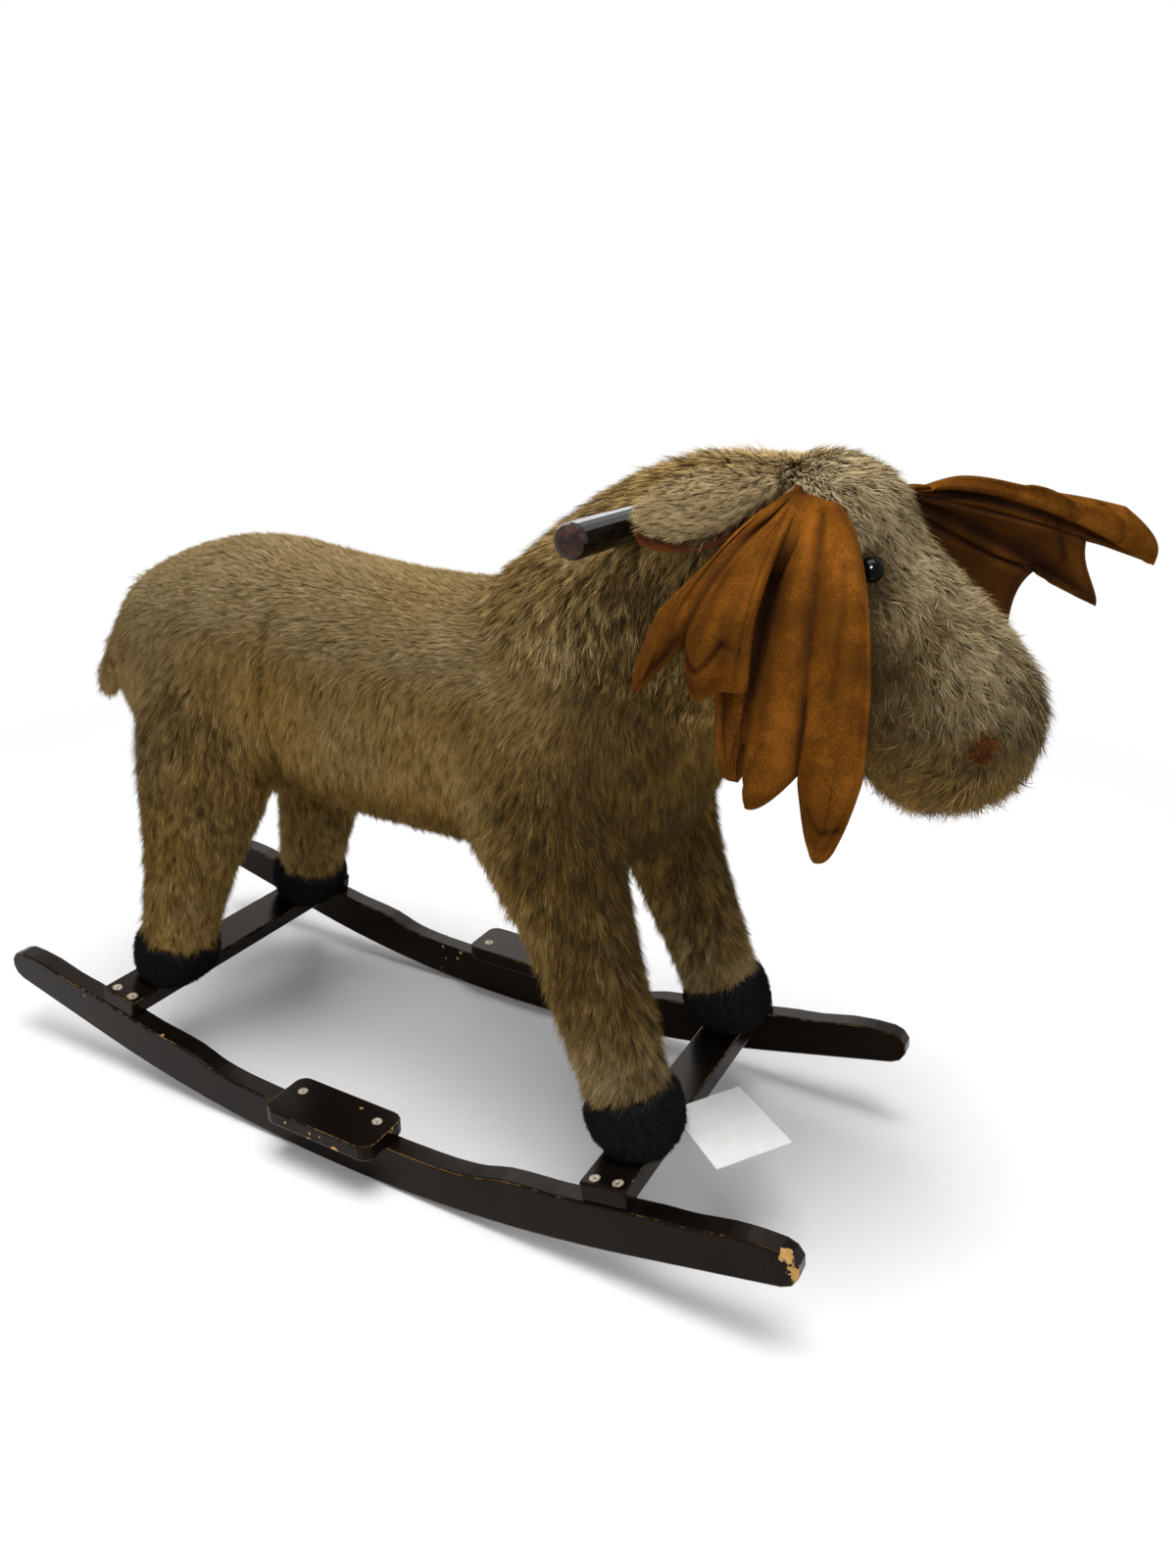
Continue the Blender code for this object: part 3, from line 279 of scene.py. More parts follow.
@dataclass(frozen=True)
class Pile:
    """Acrylic knitted pile, worn and matted, greyer with age, with painted shade that darkens each tuft
    towards the backing.
    """

    name: str
    # The darkest tone, and the colour of the painted shade at the backing.
    root: str = "#35290F"
    golden: tuple[str, str] = ("#8F6C30", "#D0AC66")      # young pile, darker and lighter
    grey: tuple[str, str] = ("#8A744B", "#D3BE93")        # old pile, the same

    def build(self) -> Material:
        """Build the pile's colour from the tone, age and height stored on each tuft.

        Returns:
            The material.
        """
        made, tree, shader = new_material(self.name)
        tone, age, height = (add_node(tree, "Attribute", attribute_name=key).outputs["Fac"]
                             for key in ("tone", "age", "height"))
        young, old = (
            add_node(tree, "ValToRGB", {"Fac": tone}, zip((0.0, 0.45, 1.0), (self.root, *colours)))
            for colours in (self.golden, self.grey))
        aged = add_node(tree, "Mix", {"Factor": age, 6: young, 7: old}, data_type="RGBA").outputs[2]
        # Painted shade: each tuft darkens to the root colour towards the backing.
        lift = add_node(tree, "MapRange", {"Value": height, "From Max": 0.75})
        colour = add_node(tree, "Mix", {"Factor": lift, 6: linear(self.root), 7: aged}, data_type="RGBA")
        plug(shader, {"Base Color": colour.outputs[2], "Roughness": 0.85, "Sheen Weight": 0.06,
                      "Sheen Roughness": 0.5, "Sheen Tint": linear(self.golden[1]),
                      "Specular IOR Level": 0.05})
        return made


@dataclass(frozen=True)
class Backing:
    """Knitted backing under the pile, seen only where the pile parts: matt, and dark as painted shade
    between the tufts.
    """

    name: str
    # Dark, so that the gaps in the pile show painted shade.
    cloth: tuple[str, str] = ("#3A2D14", "#5E4A24")
    scale: float = 160.0                  # mottles in a metre

    def build(self) -> Material:
        """Build the backing's mottled cloth.

        Returns:
            The material.
        """
        made, tree, shader = new_material(self.name)
        place = add_node(tree, "TexCoord").outputs["Object"]
        mottle = add_node(tree, "TexNoise", {
            "Vector": place, "Scale": self.scale, "Detail": 3.0, "Roughness": 0.6})
        colour = add_node(tree, "ValToRGB", {"Fac": mottle}, zip((0.3, 0.75), self.cloth))
        bump = add_node(tree, "Bump", {"Strength": 0.5, "Distance": 0.6 * MM, "Height": mottle})
        plug(shader, {"Base Color": colour, "Normal": bump, "Roughness": 0.95, "Specular IOR Level": 0.1})
        return made


@dataclass(frozen=True)
class Suede:
    """Brushed polyester faux suede, dyed caramel: a short nap that marks where it is rubbed."""

    name: str = "caramel_faux_suede"
    dye: tuple[str, str, str] = ("#502C06", "#603809", "#854F14")
    # Colour of the painted shade in folds, creases, channels and along the hem.
    fold: str = "#1E0C02"
    nap: float = 0.7 * MM                 # coarser than the real 0.1 mm nap, so that it shows
    mottle: float = 16.0 * MM

    def build(self) -> Material:
        """Build the suede from rub marks, nap and the shade stored in its folds.

        Returns:
            The material.
        """
        made, tree, shader = new_material(self.name)
        place = add_node(tree, "TexCoord").outputs["Object"]
        shade = add_node(tree, "Attribute", attribute_name="shade").outputs["Fac"]
        marks = add_node(tree, "TexNoise", {"Vector": place, "Scale": 0.5 / self.mottle, "Detail": 3.0})
        fibre = add_node(tree, "TexNoise", {
            "Vector": place, "Scale": 0.5 / self.nap, "Detail": 2.0, "Roughness": 0.7})
        blend = add_node(tree, "Math", {0: fibre, 1: 0.6, 2: marks}, operation="MULTIPLY_ADD")
        dyed = add_node(tree, "ValToRGB", {"Fac": blend}, zip((0.55, 0.80, 1.0), self.dye))
        # Painted shade from the folds darkens the dyed cloth towards the fold colour.
        colour = add_node(tree, "Mix", {"Factor": shade, 6: dyed, 7: linear(self.fold)}, data_type="RGBA")
        bump = add_node(tree, "Bump", {"Strength": 0.45, "Distance": 0.25 * MM, "Height": fibre})
        plug(shader, {"Base Color": colour.outputs[2], "Normal": bump, "Roughness": 0.88,
                      "Sheen Weight": 0.03, "Sheen Roughness": 0.35, "Sheen Tint": linear("#B98240"),
                      "Specular IOR Level": 0.02})
        return made


@dataclass(frozen=True)
class Woven:
    """Plain woven cloth or thread of one colour, with its yarn as bump."""

    name: str
    yarn: tuple[str, str]
    thread: float = 0.8 * MM              # coarser than the real thread, so that it shows
    sheen: float = 0.0

    def build(self) -> Material:
        """Build the cloth.

        Returns:
            The material.
        """
        made, tree, shader = new_material(self.name)
        place = add_node(tree, "TexCoord").outputs["Object"]
        fibre = add_node(tree, "TexNoise", {
            "Vector": place, "Scale": 0.5 / self.thread, "Detail": 4.0, "Roughness": 0.7})
        clouds = add_node(tree, "TexNoise", {"Vector": place, "Scale": 60.0})
        blend = add_node(tree, "Math", {0: clouds, 1: 0.5, 2: fibre}, operation="MULTIPLY_ADD")
        colour = add_node(tree, "ValToRGB", {"Fac": blend}, zip((0.5, 0.95), self.yarn))
        bump = add_node(tree, "Bump", {"Strength": 0.6, "Distance": 0.3 * MM, "Height": fibre})
        plug(shader, {"Base Color": colour, "Normal": bump, "Roughness": 0.92, "Sheen Weight": self.sheen,
                      "Specular IOR Level": 0.03})
        return made


@dataclass(frozen=True)
class SafetyEye:
    """Injection-moulded polystyrene eye, gloss black, with fine rubbing marks."""

    name: str = "gloss_black_polystyrene"
    colour: str = "#050505"

    def build(self) -> Material:
        """Build the eye's gloss.

        Returns:
            The material.
        """
        made, tree, shader = new_material(self.name)
        place = add_node(tree, "TexCoord").outputs["Object"]
        rub = add_node(tree, "TexNoise", {"Vector": place, "Scale": 700.0, "Detail": 3.0, "Roughness": 0.6})
        shine = add_node(tree, "MapRange", {
            "Value": rub, "From Min": 0.3, "From Max": 0.8, "To Min": 0.03, "To Max": 0.12})
        plug(shader, {"Roughness": shine, "Base Color": linear(self.colour), "IOR": 1.59,
                      "Specular IOR Level": 0.06})
        return made


@dataclass(frozen=True)
class ScrewBrass:
    """Brass-plated steel screws: a pale, dulled plating, darkened by painted shade and dirt in the cross
    recess and round the head.
    """

    name: str = "dull_brassed_steel"
    plating: tuple[str, str] = ("#8C7F68", "#D6CAB2")
    # Colour of the painted shade in the recess and of the dirt round the head.
    dirt: str = "#23190F"

    def build(self) -> Material:
        """Build the plating, darkened by the painted shade and dirt stored on each screw.

        Returns:
            The material.
        """
        made, tree, shader = new_material(self.name)
        place = add_node(tree, "TexCoord").outputs["Object"]
        stain = add_node(tree, "TexNoise", {
            "Vector": place, "Scale": 420.0, "Detail": 4.0, "Roughness": 0.65})
        colour = add_node(tree, "ValToRGB", {"Fac": stain}, zip((0.35, 0.65), self.plating))
        dirt = add_node(tree, "Attribute", attribute_name="dirt").outputs["Fac"]
        soiled = add_node(tree, "Mix", {"Factor": dirt, 6: colour, 7: linear(self.dirt)}, data_type="RGBA")
        plug(shader, {"Base Color": soiled.outputs[2], "Metallic": 0.2, "Roughness": 0.45})
        return made


@dataclass(frozen=True)
class Card:
    """Bleached coated card, cut by a die: white, faintly uneven, with nothing on it."""

    name: str = "white_coated_card"
    white: tuple[str, str] = ("#EFEFEC", "#F8F8F6")

    def build(self) -> Material:
        """Build the card.

        Returns:
            The material.
        """
        made, tree, shader = new_material(self.name)
        place = add_node(tree, "TexCoord").outputs["Object"]
        pulp = add_node(tree, "TexNoise", {"Vector": place, "Scale": 70.0, "Detail": 5.0, "Roughness": 0.6})
        colour = add_node(tree, "ValToRGB", {"Fac": pulp}, zip((0.3, 0.7), self.white))
        plug(shader, {"Base Color": colour, "Roughness": 0.5})
        return made


@dataclass(frozen=True)
class Softwood:
    """Planed pine of the frame inside the plush, bare, with rings 4 mm apart."""

    name: str = "planed_pine"
    wood: tuple[str, str] = ("#D9B883", "#B98A4E")
    ring: float = 4.0 * MM

    def build(self) -> Material:
        """Build the pine's rings.

        Returns:
            The material.
        """
        made, tree, shader = new_material(self.name)
        place = add_node(tree, "TexCoord").outputs["Object"]
        rings = add_node(tree, "TexWave", {
            "Vector": place, "Scale": 0.05 / self.ring, "Distortion": 3.0, "Detail": 2.0},
            wave_type="RINGS", rings_direction="X")
        colour = add_node(tree, "ValToRGB", {"Fac": rings.outputs["Fac"]}, zip((0.2, 0.9), self.wood))
        plug(shader, {"Base Color": colour, "Roughness": 0.7})
        return made


# Meshes


def packed_mesh(*nodes: str) -> BMesh:
    """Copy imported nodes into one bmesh, with the loose corners merged.

    Args:
        nodes: names of the nodes.

    Returns:
        The new bmesh.
    """
    bm = bmesh.new()
    for name in nodes:
        bm.from_mesh(bpy.data.objects[name].data)
    bmesh.ops.remove_doubles(bm, verts=bm.verts[:], dist=MERGE)
    bmesh.ops.recalc_face_normals(bm, faces=bm.faces[:])
    return bm


def in_order(bm: BMesh) -> BMesh:
    """Rebuild a mesh with its corners and faces listed by place.

    The operators that cut and push faces list them in another order on each run.

    Args:
        bm: the mesh, which is freed.

    Returns:
        The same shape, listed the same way on each run.
    """
    corners = sorted(bm.verts, key=lambda vert: vert.co[:])
    rank = {vert: i for i, vert in enumerate(corners)}
    rings = []
    for face in bm.faces:
        ring = [rank[vert] for vert in face.verts]
        first = ring.index(min(ring))
        rings.append(ring[first:] + ring[:first])
    made = bmesh.new()
    fresh = [made.verts.new(vert.co) for vert in corners]
    for ring in sorted(rings):
        made.faces.new([fresh[i] for i in ring])
    bm.free()
    return made


def make_object(name: str, bm: BMesh, smooth: float = 180.0) -> Object:
    """Turn a bmesh into an object at the origin.

    Args:
        name: the piece's name.
        bm: its mesh, which is freed.
        smooth: edges flatter than this many degrees shade smooth.

    Returns:
        The new object.
    """
    mesh = bpy.data.meshes.new(name)
    bm.to_mesh(mesh)
    bm.free()
    mesh.shade_smooth()
    if smooth < 180.0:
        mesh.set_sharp_from_angle(angle=math.radians(smooth))
    return link(name, mesh)


def link(name: str, data: Mesh | bpy.types.Light | bpy.types.Camera) -> Object:
    """Put data into the scene as an object."""
    made = bpy.data.objects.new(name, data)
    bpy.context.scene.collection.objects.link(made)
    return made


def add_modifier(piece: Object, kind: str, **settings: float | str | bool) -> None:
    """Put one modifier with its settings on a piece."""
    step = piece.modifiers.new(kind.lower(), kind)
    for key, value in settings.items():
        setattr(step, key, value)


def settle(piece: Object) -> None:
    """Apply a piece's modifiers to its mesh."""
    graph = bpy.context.evaluated_depsgraph_get()
    graph.update()
    done = bpy.data.meshes.new_from_object(piece.evaluated_get(graph))
    piece.modifiers.clear()
    old, piece.data = piece.data, done
    done.name = piece.name
    bpy.data.meshes.remove(old)


def dress(piece: Object, stuff: Material) -> None:
    """Give a piece its only material."""
    piece.data.materials.clear()
    piece.data.materials.append(stuff)


def fit(piece: Object, stuff: Material, body: str, slot: str, *nodes: str, fill: float = 0.0) -> None:
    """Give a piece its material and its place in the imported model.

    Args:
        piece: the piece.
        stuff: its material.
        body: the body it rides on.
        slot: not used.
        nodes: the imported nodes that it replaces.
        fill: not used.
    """
    dress(piece, stuff)
    if nodes:
        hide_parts(*nodes)
    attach(piece, body)
    LOG.info("%s: %d faces", piece.name, len(piece.data.polygons))


def search_tree(*nodes: str) -> BVHTree:
    """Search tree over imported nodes."""
    bm = packed_mesh(*nodes)
    tree = BVHTree.FromBMesh(bm)
    bm.free()
    return tree


def middle_of(node: str) -> Vector:
    """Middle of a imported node's box."""
    low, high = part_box(node)
    return (low + high) / 2


def rows_of(mesh: Mesh, key: str = "co") -> np.ndarray:
    """Places or normals of a mesh's vertices as rows."""
    flat = np.zeros(len(mesh.vertices) * 3)
    mesh.vertices.foreach_get(key, flat)
    return flat.reshape(-1, 3)


def unit(rows: np.ndarray) -> np.ndarray:
    """Rows scaled to length 1."""
    return rows / np.maximum(np.linalg.norm(rows, axis=1, keepdims=True), 1e-12)


def ease(value: np.ndarray, low: float, high: float) -> np.ndarray:
    """Smooth step from 0 at low to 1 at high."""
    t = np.clip((value - low) / (high - low), 0.0, 1.0)
    return t * t * (3 - 2 * t)


def along_surface(ways: np.ndarray, normals: np.ndarray) -> np.ndarray:
    """Directions without their part along the normals."""
    return ways - normals * (ways * normals).sum(axis=1, keepdims=True)


class Waves:
    """Smooth random field: a sum of sine waves in random directions."""

    def __init__(self, rng: np.random.Generator, length: float, count: int = 14) -> None:
        """Draw the waves.

        Args:
            rng: the seeded source of randomness.
            length: typical wavelength in metres.
            count: how many waves are summed.
        """
        ways = unit(rng.normal(size=(count, 3))) * (2 * math.pi / length)
        self.ways = ways * rng.uniform(0.6, 1.6, (count, 1))
        self.starts = rng.uniform(0, 2 * math.pi, count)
        self.count = count

    def at(self, places: np.ndarray) -> np.ndarray:
        """Field at each place, mostly between -1 and 1."""
        return np.sin(places @ self.ways.T + self.starts).sum(axis=1) * math.sqrt(2 / self.count) * 0.7


# Fur


@dataclass
class Cut:
    """How one zone's pile is cut and combed."""

    length: float                         # of a tuft
    lift: float                           # degrees that its root stands up from the backing
    mess: float                           # degrees that clumps stray from the combing
    clump: float                          # share of the way that a tip leans to its clump's middle
    age: float                            # 0 golden, 1 grey
    tone: float                           # 0 dark, 1 light
    density: float = 900_000.0            # tufts on a square metre
    bent: bool = True                     # a long tuft bends; a short one is one triangle
    clump_size: float = 4.6 * MM
    contrast: float = 1.0                 # spread of tone between clumps and between tufts


@dataclass
class Coat:
    """Samples of a coat before tufts are made: one row for each tuft."""

    root: np.ndarray
    normal: np.ndarray
    comb: np.ndarray
    length: np.ndarray
    lift: np.ndarray
    mess: np.ndarray
    clump: np.ndarray
    age: np.ndarray
    tone: np.ndarray

    def only(self, keep: np.ndarray) -> "Coat":
        """The rows that are kept."""
        return Coat(**{name: rows[keep] for name, rows in self.__dict__.items()})


@dataclass
class Tufts:
    """Turns coat samples into tapered tufts of pile.

    Hundreds of thousands of tufts are beyond bmesh operators, so their points are arrays.
    """

    width: float = 0.75 * MM
    taper: float = 0.8                    # width at the bend, as a share of the root's
    rooted: float = 0.4 * MM              # depth of a tuft's root in the backing
    bent: bool = True
    clump_size: float = 4.6 * MM
    contrast: float = 1.0
    seed: int = 7

    def clumps(self, coat: Coat, rng: np.random.Generator) -> tuple[np.ndarray, np.ndarray]:
        """Group tufts into clumps by a wavy grid.

        Args:
            coat: the samples.
            rng: the seeded source of randomness.

        Returns:
            Each tuft's clump number and its clump's middle.
        """
        warp = np.stack([Waves(rng, 0.013).at(coat.root) for _ in range(3)], axis=1) * 0.5
        # Clumps are longer along the combing than across it.
        size = self.clump_size * (0.6 + 1.3 * np.abs(coat.comb).mean(axis=0) ** 2)
        cell = np.floor(coat.root / size + warp).astype(np.int64)
        _, member = np.unique(np.bitwise_xor.reduce(cell * HASH, axis=1), return_inverse=True)
        count = np.bincount(member)
        middle = np.stack([np.bincount(member, coat.root[:, k]) / count for k in range(3)], axis=1)
        return member, middle[member]

    def build(self, name: str, coat: Coat) -> Object:
        """Make one piece of fur.

        Args:
            name: the piece's name.
            coat: its samples.

        Returns:
            The piece.
        """
        rng = np.random.default_rng(self.seed + sum(map(ord, name)))
        count = len(coat.root)
        member, middle = self.clumps(coat, rng)
        groups = member.max() + 1
        # A clump strays as one from the combing, and its tufts a little more each on their own.
        stray = rng.normal(size=groups)[member] * 0.8 + rng.normal(size=count) * 0.45
        stray += Waves(rng, 0.09).at(coat.root) * 0.9
        turn = np.radians(coat.mess * stray)[:, None]
        across = np.cross(coat.normal, coat.comb)
        comb = coat.comb * np.cos(turn) + across * np.sin(turn)
        lift = np.radians(coat.lift + rng.normal(size=count) * 9 + rng.normal(size=groups)[member] * 8)
        lift = np.clip(lift, 0.12, 1.5)[:, None]
        size = coat.length * (1 + 0.16 * rng.normal(size=groups)[member] + 0.14 * rng.normal(size=count))
        size = np.clip(size, coat.length * 0.5, coat.length * 1.5)[:, None]
        # A tuft rises, droops from its bend on and leans to its clump's middle.
        first = comb * np.cos(lift) + coat.normal * np.sin(lift)
        droop = lift * 0.45
        second = comb * np.cos(droop) + coat.normal * np.sin(droop)
        bend = coat.root + first * size * 0.5
        tip = bend + second * size * 0.5
        gather = (middle - coat.root) * coat.clump[:, None]
        bend += gather * 0.45
        tip += gather
        sway = np.radians(rng.uniform(-50, 50, count))[:, None]
        flat = unit(np.cross(coat.normal, first))
        side = flat * np.cos(sway) + np.cross(first, flat) * np.sin(sway)
        half = side * (self.width / 2) * rng.uniform(0.7, 1.3, (count, 1))
        base = coat.root - coat.normal * self.rooted
        spread_out = 0.09 * rng.normal(size=groups)[member] + 0.13 * rng.normal(size=count)
        spread_out += 0.04 * Waves(rng, 0.05).at(coat.root) + 0.05 * Waves(rng, 0.012).at(coat.root)
        shade = coat.tone + self.contrast * spread_out
        if self.bent:
            points = np.stack([base - half, base + half, bend + half * self.taper,
                               bend - half * self.taper, tip], axis=1)
        else:
            points = np.stack([base - half, base + half, tip], axis=1)
        return self.mesh(name, points, coat, np.clip(shade, 0.02, 1.0))

    def mesh(self, name: str, points: np.ndarray, coat: Coat, shade: np.ndarray) -> Object:
        """Write tufts of five or three points into a mesh with their colour attributes.

        Args:
            name: the piece's name.
            points: the points of each tuft.
            coat: the samples.
            shade: each tuft's tone.

        Returns:
            The piece.
        """
        count, size = points.shape[:2]
        faces, heights, strip = BENT if self.bent else STRAIGHT
        first = np.arange(count)[:, None] * size
        corners = np.concatenate([(first + np.array([face])).ravel() for face in faces])
        lengths = np.concatenate([np.full(count, len(face)) for face in faces])
        mesh = bpy.data.meshes.new(name)
        mesh.vertices.add(count * size)
        mesh.vertices.foreach_set("co", points.astype(np.float32).ravel())
        mesh.loops.add(len(corners))
        mesh.loops.foreach_set("vertex_index", corners.astype(np.int32))
        mesh.polygons.add(len(lengths))
        mesh.polygons.foreach_set("loop_start", (np.cumsum(lengths) - lengths).astype(np.int32))
        mesh.update(calc_edges=True)
        mesh.shade_smooth()
        tone, age, height = np.repeat(shade, size), np.repeat(coat.age, size), np.tile(heights, count)
        for key, rows in (("tone", tone), ("age", age), ("height", height)):
            layer = mesh.attributes.new(key, "FLOAT", "POINT")
            layer.data.foreach_set("value", rows.astype(np.float32))
        # The pile's colour depends on these three alone, so a small map of them bakes it whole.
        band = np.floor(age * (AGE_BANDS - 0.01))
        u = (band + 0.02 + 0.95 * tone) / AGE_BANDS + np.tile(strip, count) * STRIP_WIDTH
        chart = mesh.uv_layers.new(name="OFBake")
        pairs = np.stack([u, 0.01 + 0.98 * height], axis=1)[corners]
        chart.data.foreach_set("uv", pairs.astype(np.float32).ravel())
        normals = unit(np.repeat(coat.normal, size, axis=0) + 0.35 * np.repeat(coat.comb, size, axis=0))
        mesh.normals_split_custom_set_from_vertices(normals)
        return link(name, mesh)


def scatter(mesh: Mesh, density: np.ndarray, rng: np.random.Generator,
            fields: dict[str, np.ndarray]) -> dict[str, np.ndarray]:
    """Scatter points over a mesh and carry its vertex fields to them.

    Args:
        mesh: the backing.
        density: points for each square metre, at each vertex.
        rng: the seeded source of randomness.
        fields: rows at the vertices to interpolate.

    Returns:
        The points as "root", and each field at them.
    """
    mesh.calc_loop_triangles()
    corners = np.zeros(len(mesh.loop_triangles) * 3, np.int32)
    mesh.loop_triangles.foreach_get("vertices", corners)
    corners = corners.reshape(-1, 3)
    places = rows_of(mesh)
    a, b, c = (places[corners[:, k]] for k in range(3))
    area = np.linalg.norm(np.cross(b - a, c - a), axis=1) / 2
    wanted = area * density[corners].mean(axis=1)
    count = int(wanted.sum())
    edges = np.cumsum(wanted)
    face = np.searchsorted(edges, (np.arange(count) + rng.uniform(size=count)) * edges[-1] / count)
    face = np.minimum(face, len(corners) - 1)
    u, v = rng.uniform(size=(2, count))
    over = u + v > 1
    u[over], v[over] = 1 - u[over], 1 - v[over]
    weights = np.stack([1 - u - v, u, v], axis=1)
    found = {"root": np.einsum("nk,nkd->nd", weights, places[corners[face]])}
    for key, rows in fields.items():
        picked = rows[corners[face]]
        if rows.ndim == 1:
            found[key] = (weights * picked).sum(axis=1)
        else:
            found[key] = np.einsum("nk,nkd->nd", weights, picked)
    return found


def spread(mesh: Mesh, rows: np.ndarray, times: int) -> np.ndarray:
    """Blur a vertex field along a mesh's edges.

    Args:
        mesh: the mesh.
        rows: the field, one row for each vertex.
        times: how many rounds.

    Returns:
        The blurred field.
    """
    ends = np.zeros(len(mesh.edges) * 2, np.int32)
    mesh.edges.foreach_get("vertices", ends)
    ends = ends.reshape(-1, 2)
    count = np.bincount(ends.ravel(), minlength=len(rows))[:, None].astype(float)
    shape = rows.shape
    work = rows.reshape(len(rows), -1).astype(float)
    for _ in range(times):
        total = np.zeros_like(work)
        for k in range(work.shape[1]):
            total[:, k] = np.bincount(ends[:, 0], work[ends[:, 1], k], len(work))
            total[:, k] += np.bincount(ends[:, 1], work[ends[:, 0], k], len(work))
        work = 0.35 * work + 0.65 * total / np.maximum(count, 1)
    return work.reshape(shape)


@dataclass
class PlushBody:
    """Torso, neck, head and legs: one sewn skin and the coat on it."""

    nodes: dict[str, Zone] = field(default_factory=lambda: {
        "torso": Zone.FLANK, "neck": Zone.NECK, "head": Zone.SKULL,
        "leg_front_right": Zone.LEG, "leg_front_left": Zone.LEG,
        "leg_rear_right": Zone.LEG, "leg_rear_left": Zone.LEG,
    })
    voxel: float = 4.5 * MM
    inset: float = 4.6 * MM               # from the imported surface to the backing
    swell: float = 1.5 * MM               # closes the gaps between nodes for the remesh
    hoof_top: float = 0.095               # below it the legs are inside the hooves
    flank_seam: float = -0.142            # the seam between haunch and barrel
    seam_depth: float = 4.5 * MM
    seam_width: float = 6 * MM
    seed: int = 11
    cuts: dict[Zone, Cut] = field(default_factory=lambda: {
        Zone.BACK: Cut(8.5 * MM, 24, 8, 0.12, 0.85, 0.53, 1_600_000, False, 3.2 * MM, 0.6),
        Zone.FLANK: Cut(13.0 * MM, 26, 8, 0.26, 0.20, 0.60, 1_500_000, False, 4.4 * MM, 0.85),
        Zone.BELLY: Cut(12.5 * MM, 32, 14, 0.32, 0.0, 0.33, 1_000_000, False, 4.8 * MM),
        Zone.NECK: Cut(13.5 * MM, 32, 14, 0.36, 0.30, 0.56, 950_000, contrast=1.9),
        Zone.SKULL: Cut(12.0 * MM, 36, 24, 0.20, 0.95, 0.70, 1_250_000, True, 3.8 * MM, 1.3),
        Zone.MUZZLE: Cut(15.0 * MM, 42, 30, 0.26, 0.95, 0.62, 1_250_000, True, 4.2 * MM, 1.4),
        Zone.LEG: Cut(14.0 * MM, 30, 14, 0.36, 0.12, 0.44, 1_250_000, False, 5.2 * MM, 1.55),
    })
    lies: dict[Zone, tuple[float, float, float]] = field(default_factory=lambda: {
        Zone.BACK: (-1.0, 0.0, -0.45), Zone.FLANK: (-0.10, 0.0, -1.0), Zone.BELLY: (-0.05, 0.0, -1.0),
        Zone.NECK: (-0.10, 0.0, -1.0), Zone.SKULL: (0.55, 0.0, -0.83), Zone.MUZZLE: (0.15, 0.0, -0.95),
        Zone.LEG: (-0.05, 0.0, -1.0),
    })
    muzzle_middle: Vector = field(default_factory=lambda: Vector((0.350, 0.0, 0.414)))
    eye_spots: tuple[Vector, ...] = ()
    nostril_spots: tuple[Vector, ...] = ()

    def skin(self, stuff: Material) -> Object:
        """Sew the nodes into one backing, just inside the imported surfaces.

        Args:
            stuff: the backing's material.

        Returns:
            The backing.
        """
        piece = make_object("plush_backing", packed_mesh(*self.nodes))
        # The gaps between the nodes close under a swollen remesh, which is then drawn in.
        add_modifier(piece, "REMESH", mode="VOXEL", voxel_size=self.voxel)
        add_modifier(piece, "DISPLACE", strength=self.swell, mid_level=0.0)
        settle(piece)
        add_modifier(piece, "REMESH", mode="VOXEL", voxel_size=self.voxel)
        add_modifier(piece, "SMOOTH", factor=0.5, iterations=6)
        add_modifier(piece, "DISPLACE", strength=-self.inset - self.swell, mid_level=0.0)
        add_modifier(piece, "SMOOTH", factor=0.5, iterations=2)
        settle(piece)
        self.outer_shell_only(piece)
        self.press_seams(piece)
        fit(piece, stuff, BODY, "plush", *self.nodes, fill=0.9)
        return piece

    def outer_shell_only(self, piece: Object) -> None:
        """Delete the shells round the hidden timber, so that one outer skin is left."""
        bm = bmesh.new()
        bm.from_mesh(piece.data)
        bm.verts.ensure_lookup_table()
        seen: set[int] = set()
        shells = []
        for start in bm.verts:
            if start.index in seen:
                continue
            shell, queue = [], [start]
            seen.add(start.index)
            while queue:
                vert = queue.pop()
                shell.append(vert)
                for edge in vert.link_edges:
                    other = edge.other_vert(vert)
                    if other.index not in seen:
                        seen.add(other.index)
                        queue.append(other)
            shells.append(shell)
        shells.sort(key=len)
        for shell in shells[:-1]:
            bmesh.ops.delete(bm, geom=shell, context="VERTS")
        bm.to_mesh(piece.data)
        bm.free()
        piece.data.shade_smooth()

    def press_seams(self, piece: Object) -> None:
        """Draw the skin in along the sewn seams on both flanks."""
        places = rows_of(piece.data)
        away, side = self.seam(places)
        depth = self.seam_depth * np.exp(-(away / self.seam_width) ** 2) * side
        places -= rows_of(piece.data, "normal") * depth[:, None]
        piece.data.vertices.foreach_set("co", places.ravel())
        piece.data.update()

    def seam(self, places: np.ndarray) -> tuple[np.ndarray, np.ndarray]:
        """Find the flank seam from each place.

        Args:
            places: points of the backing or the coat.

        Returns:
            The distance to the seam along the body, and a share that fades out where the seam ends.
        """
        x, y, z = places.T
        line = self.flank_seam - 0.012 * ease(-z, -0.34, -0.28)
        return np.abs(x - line), ease(np.abs(y), 0.03, 0.07) * ease(-z, -0.455, -0.42)

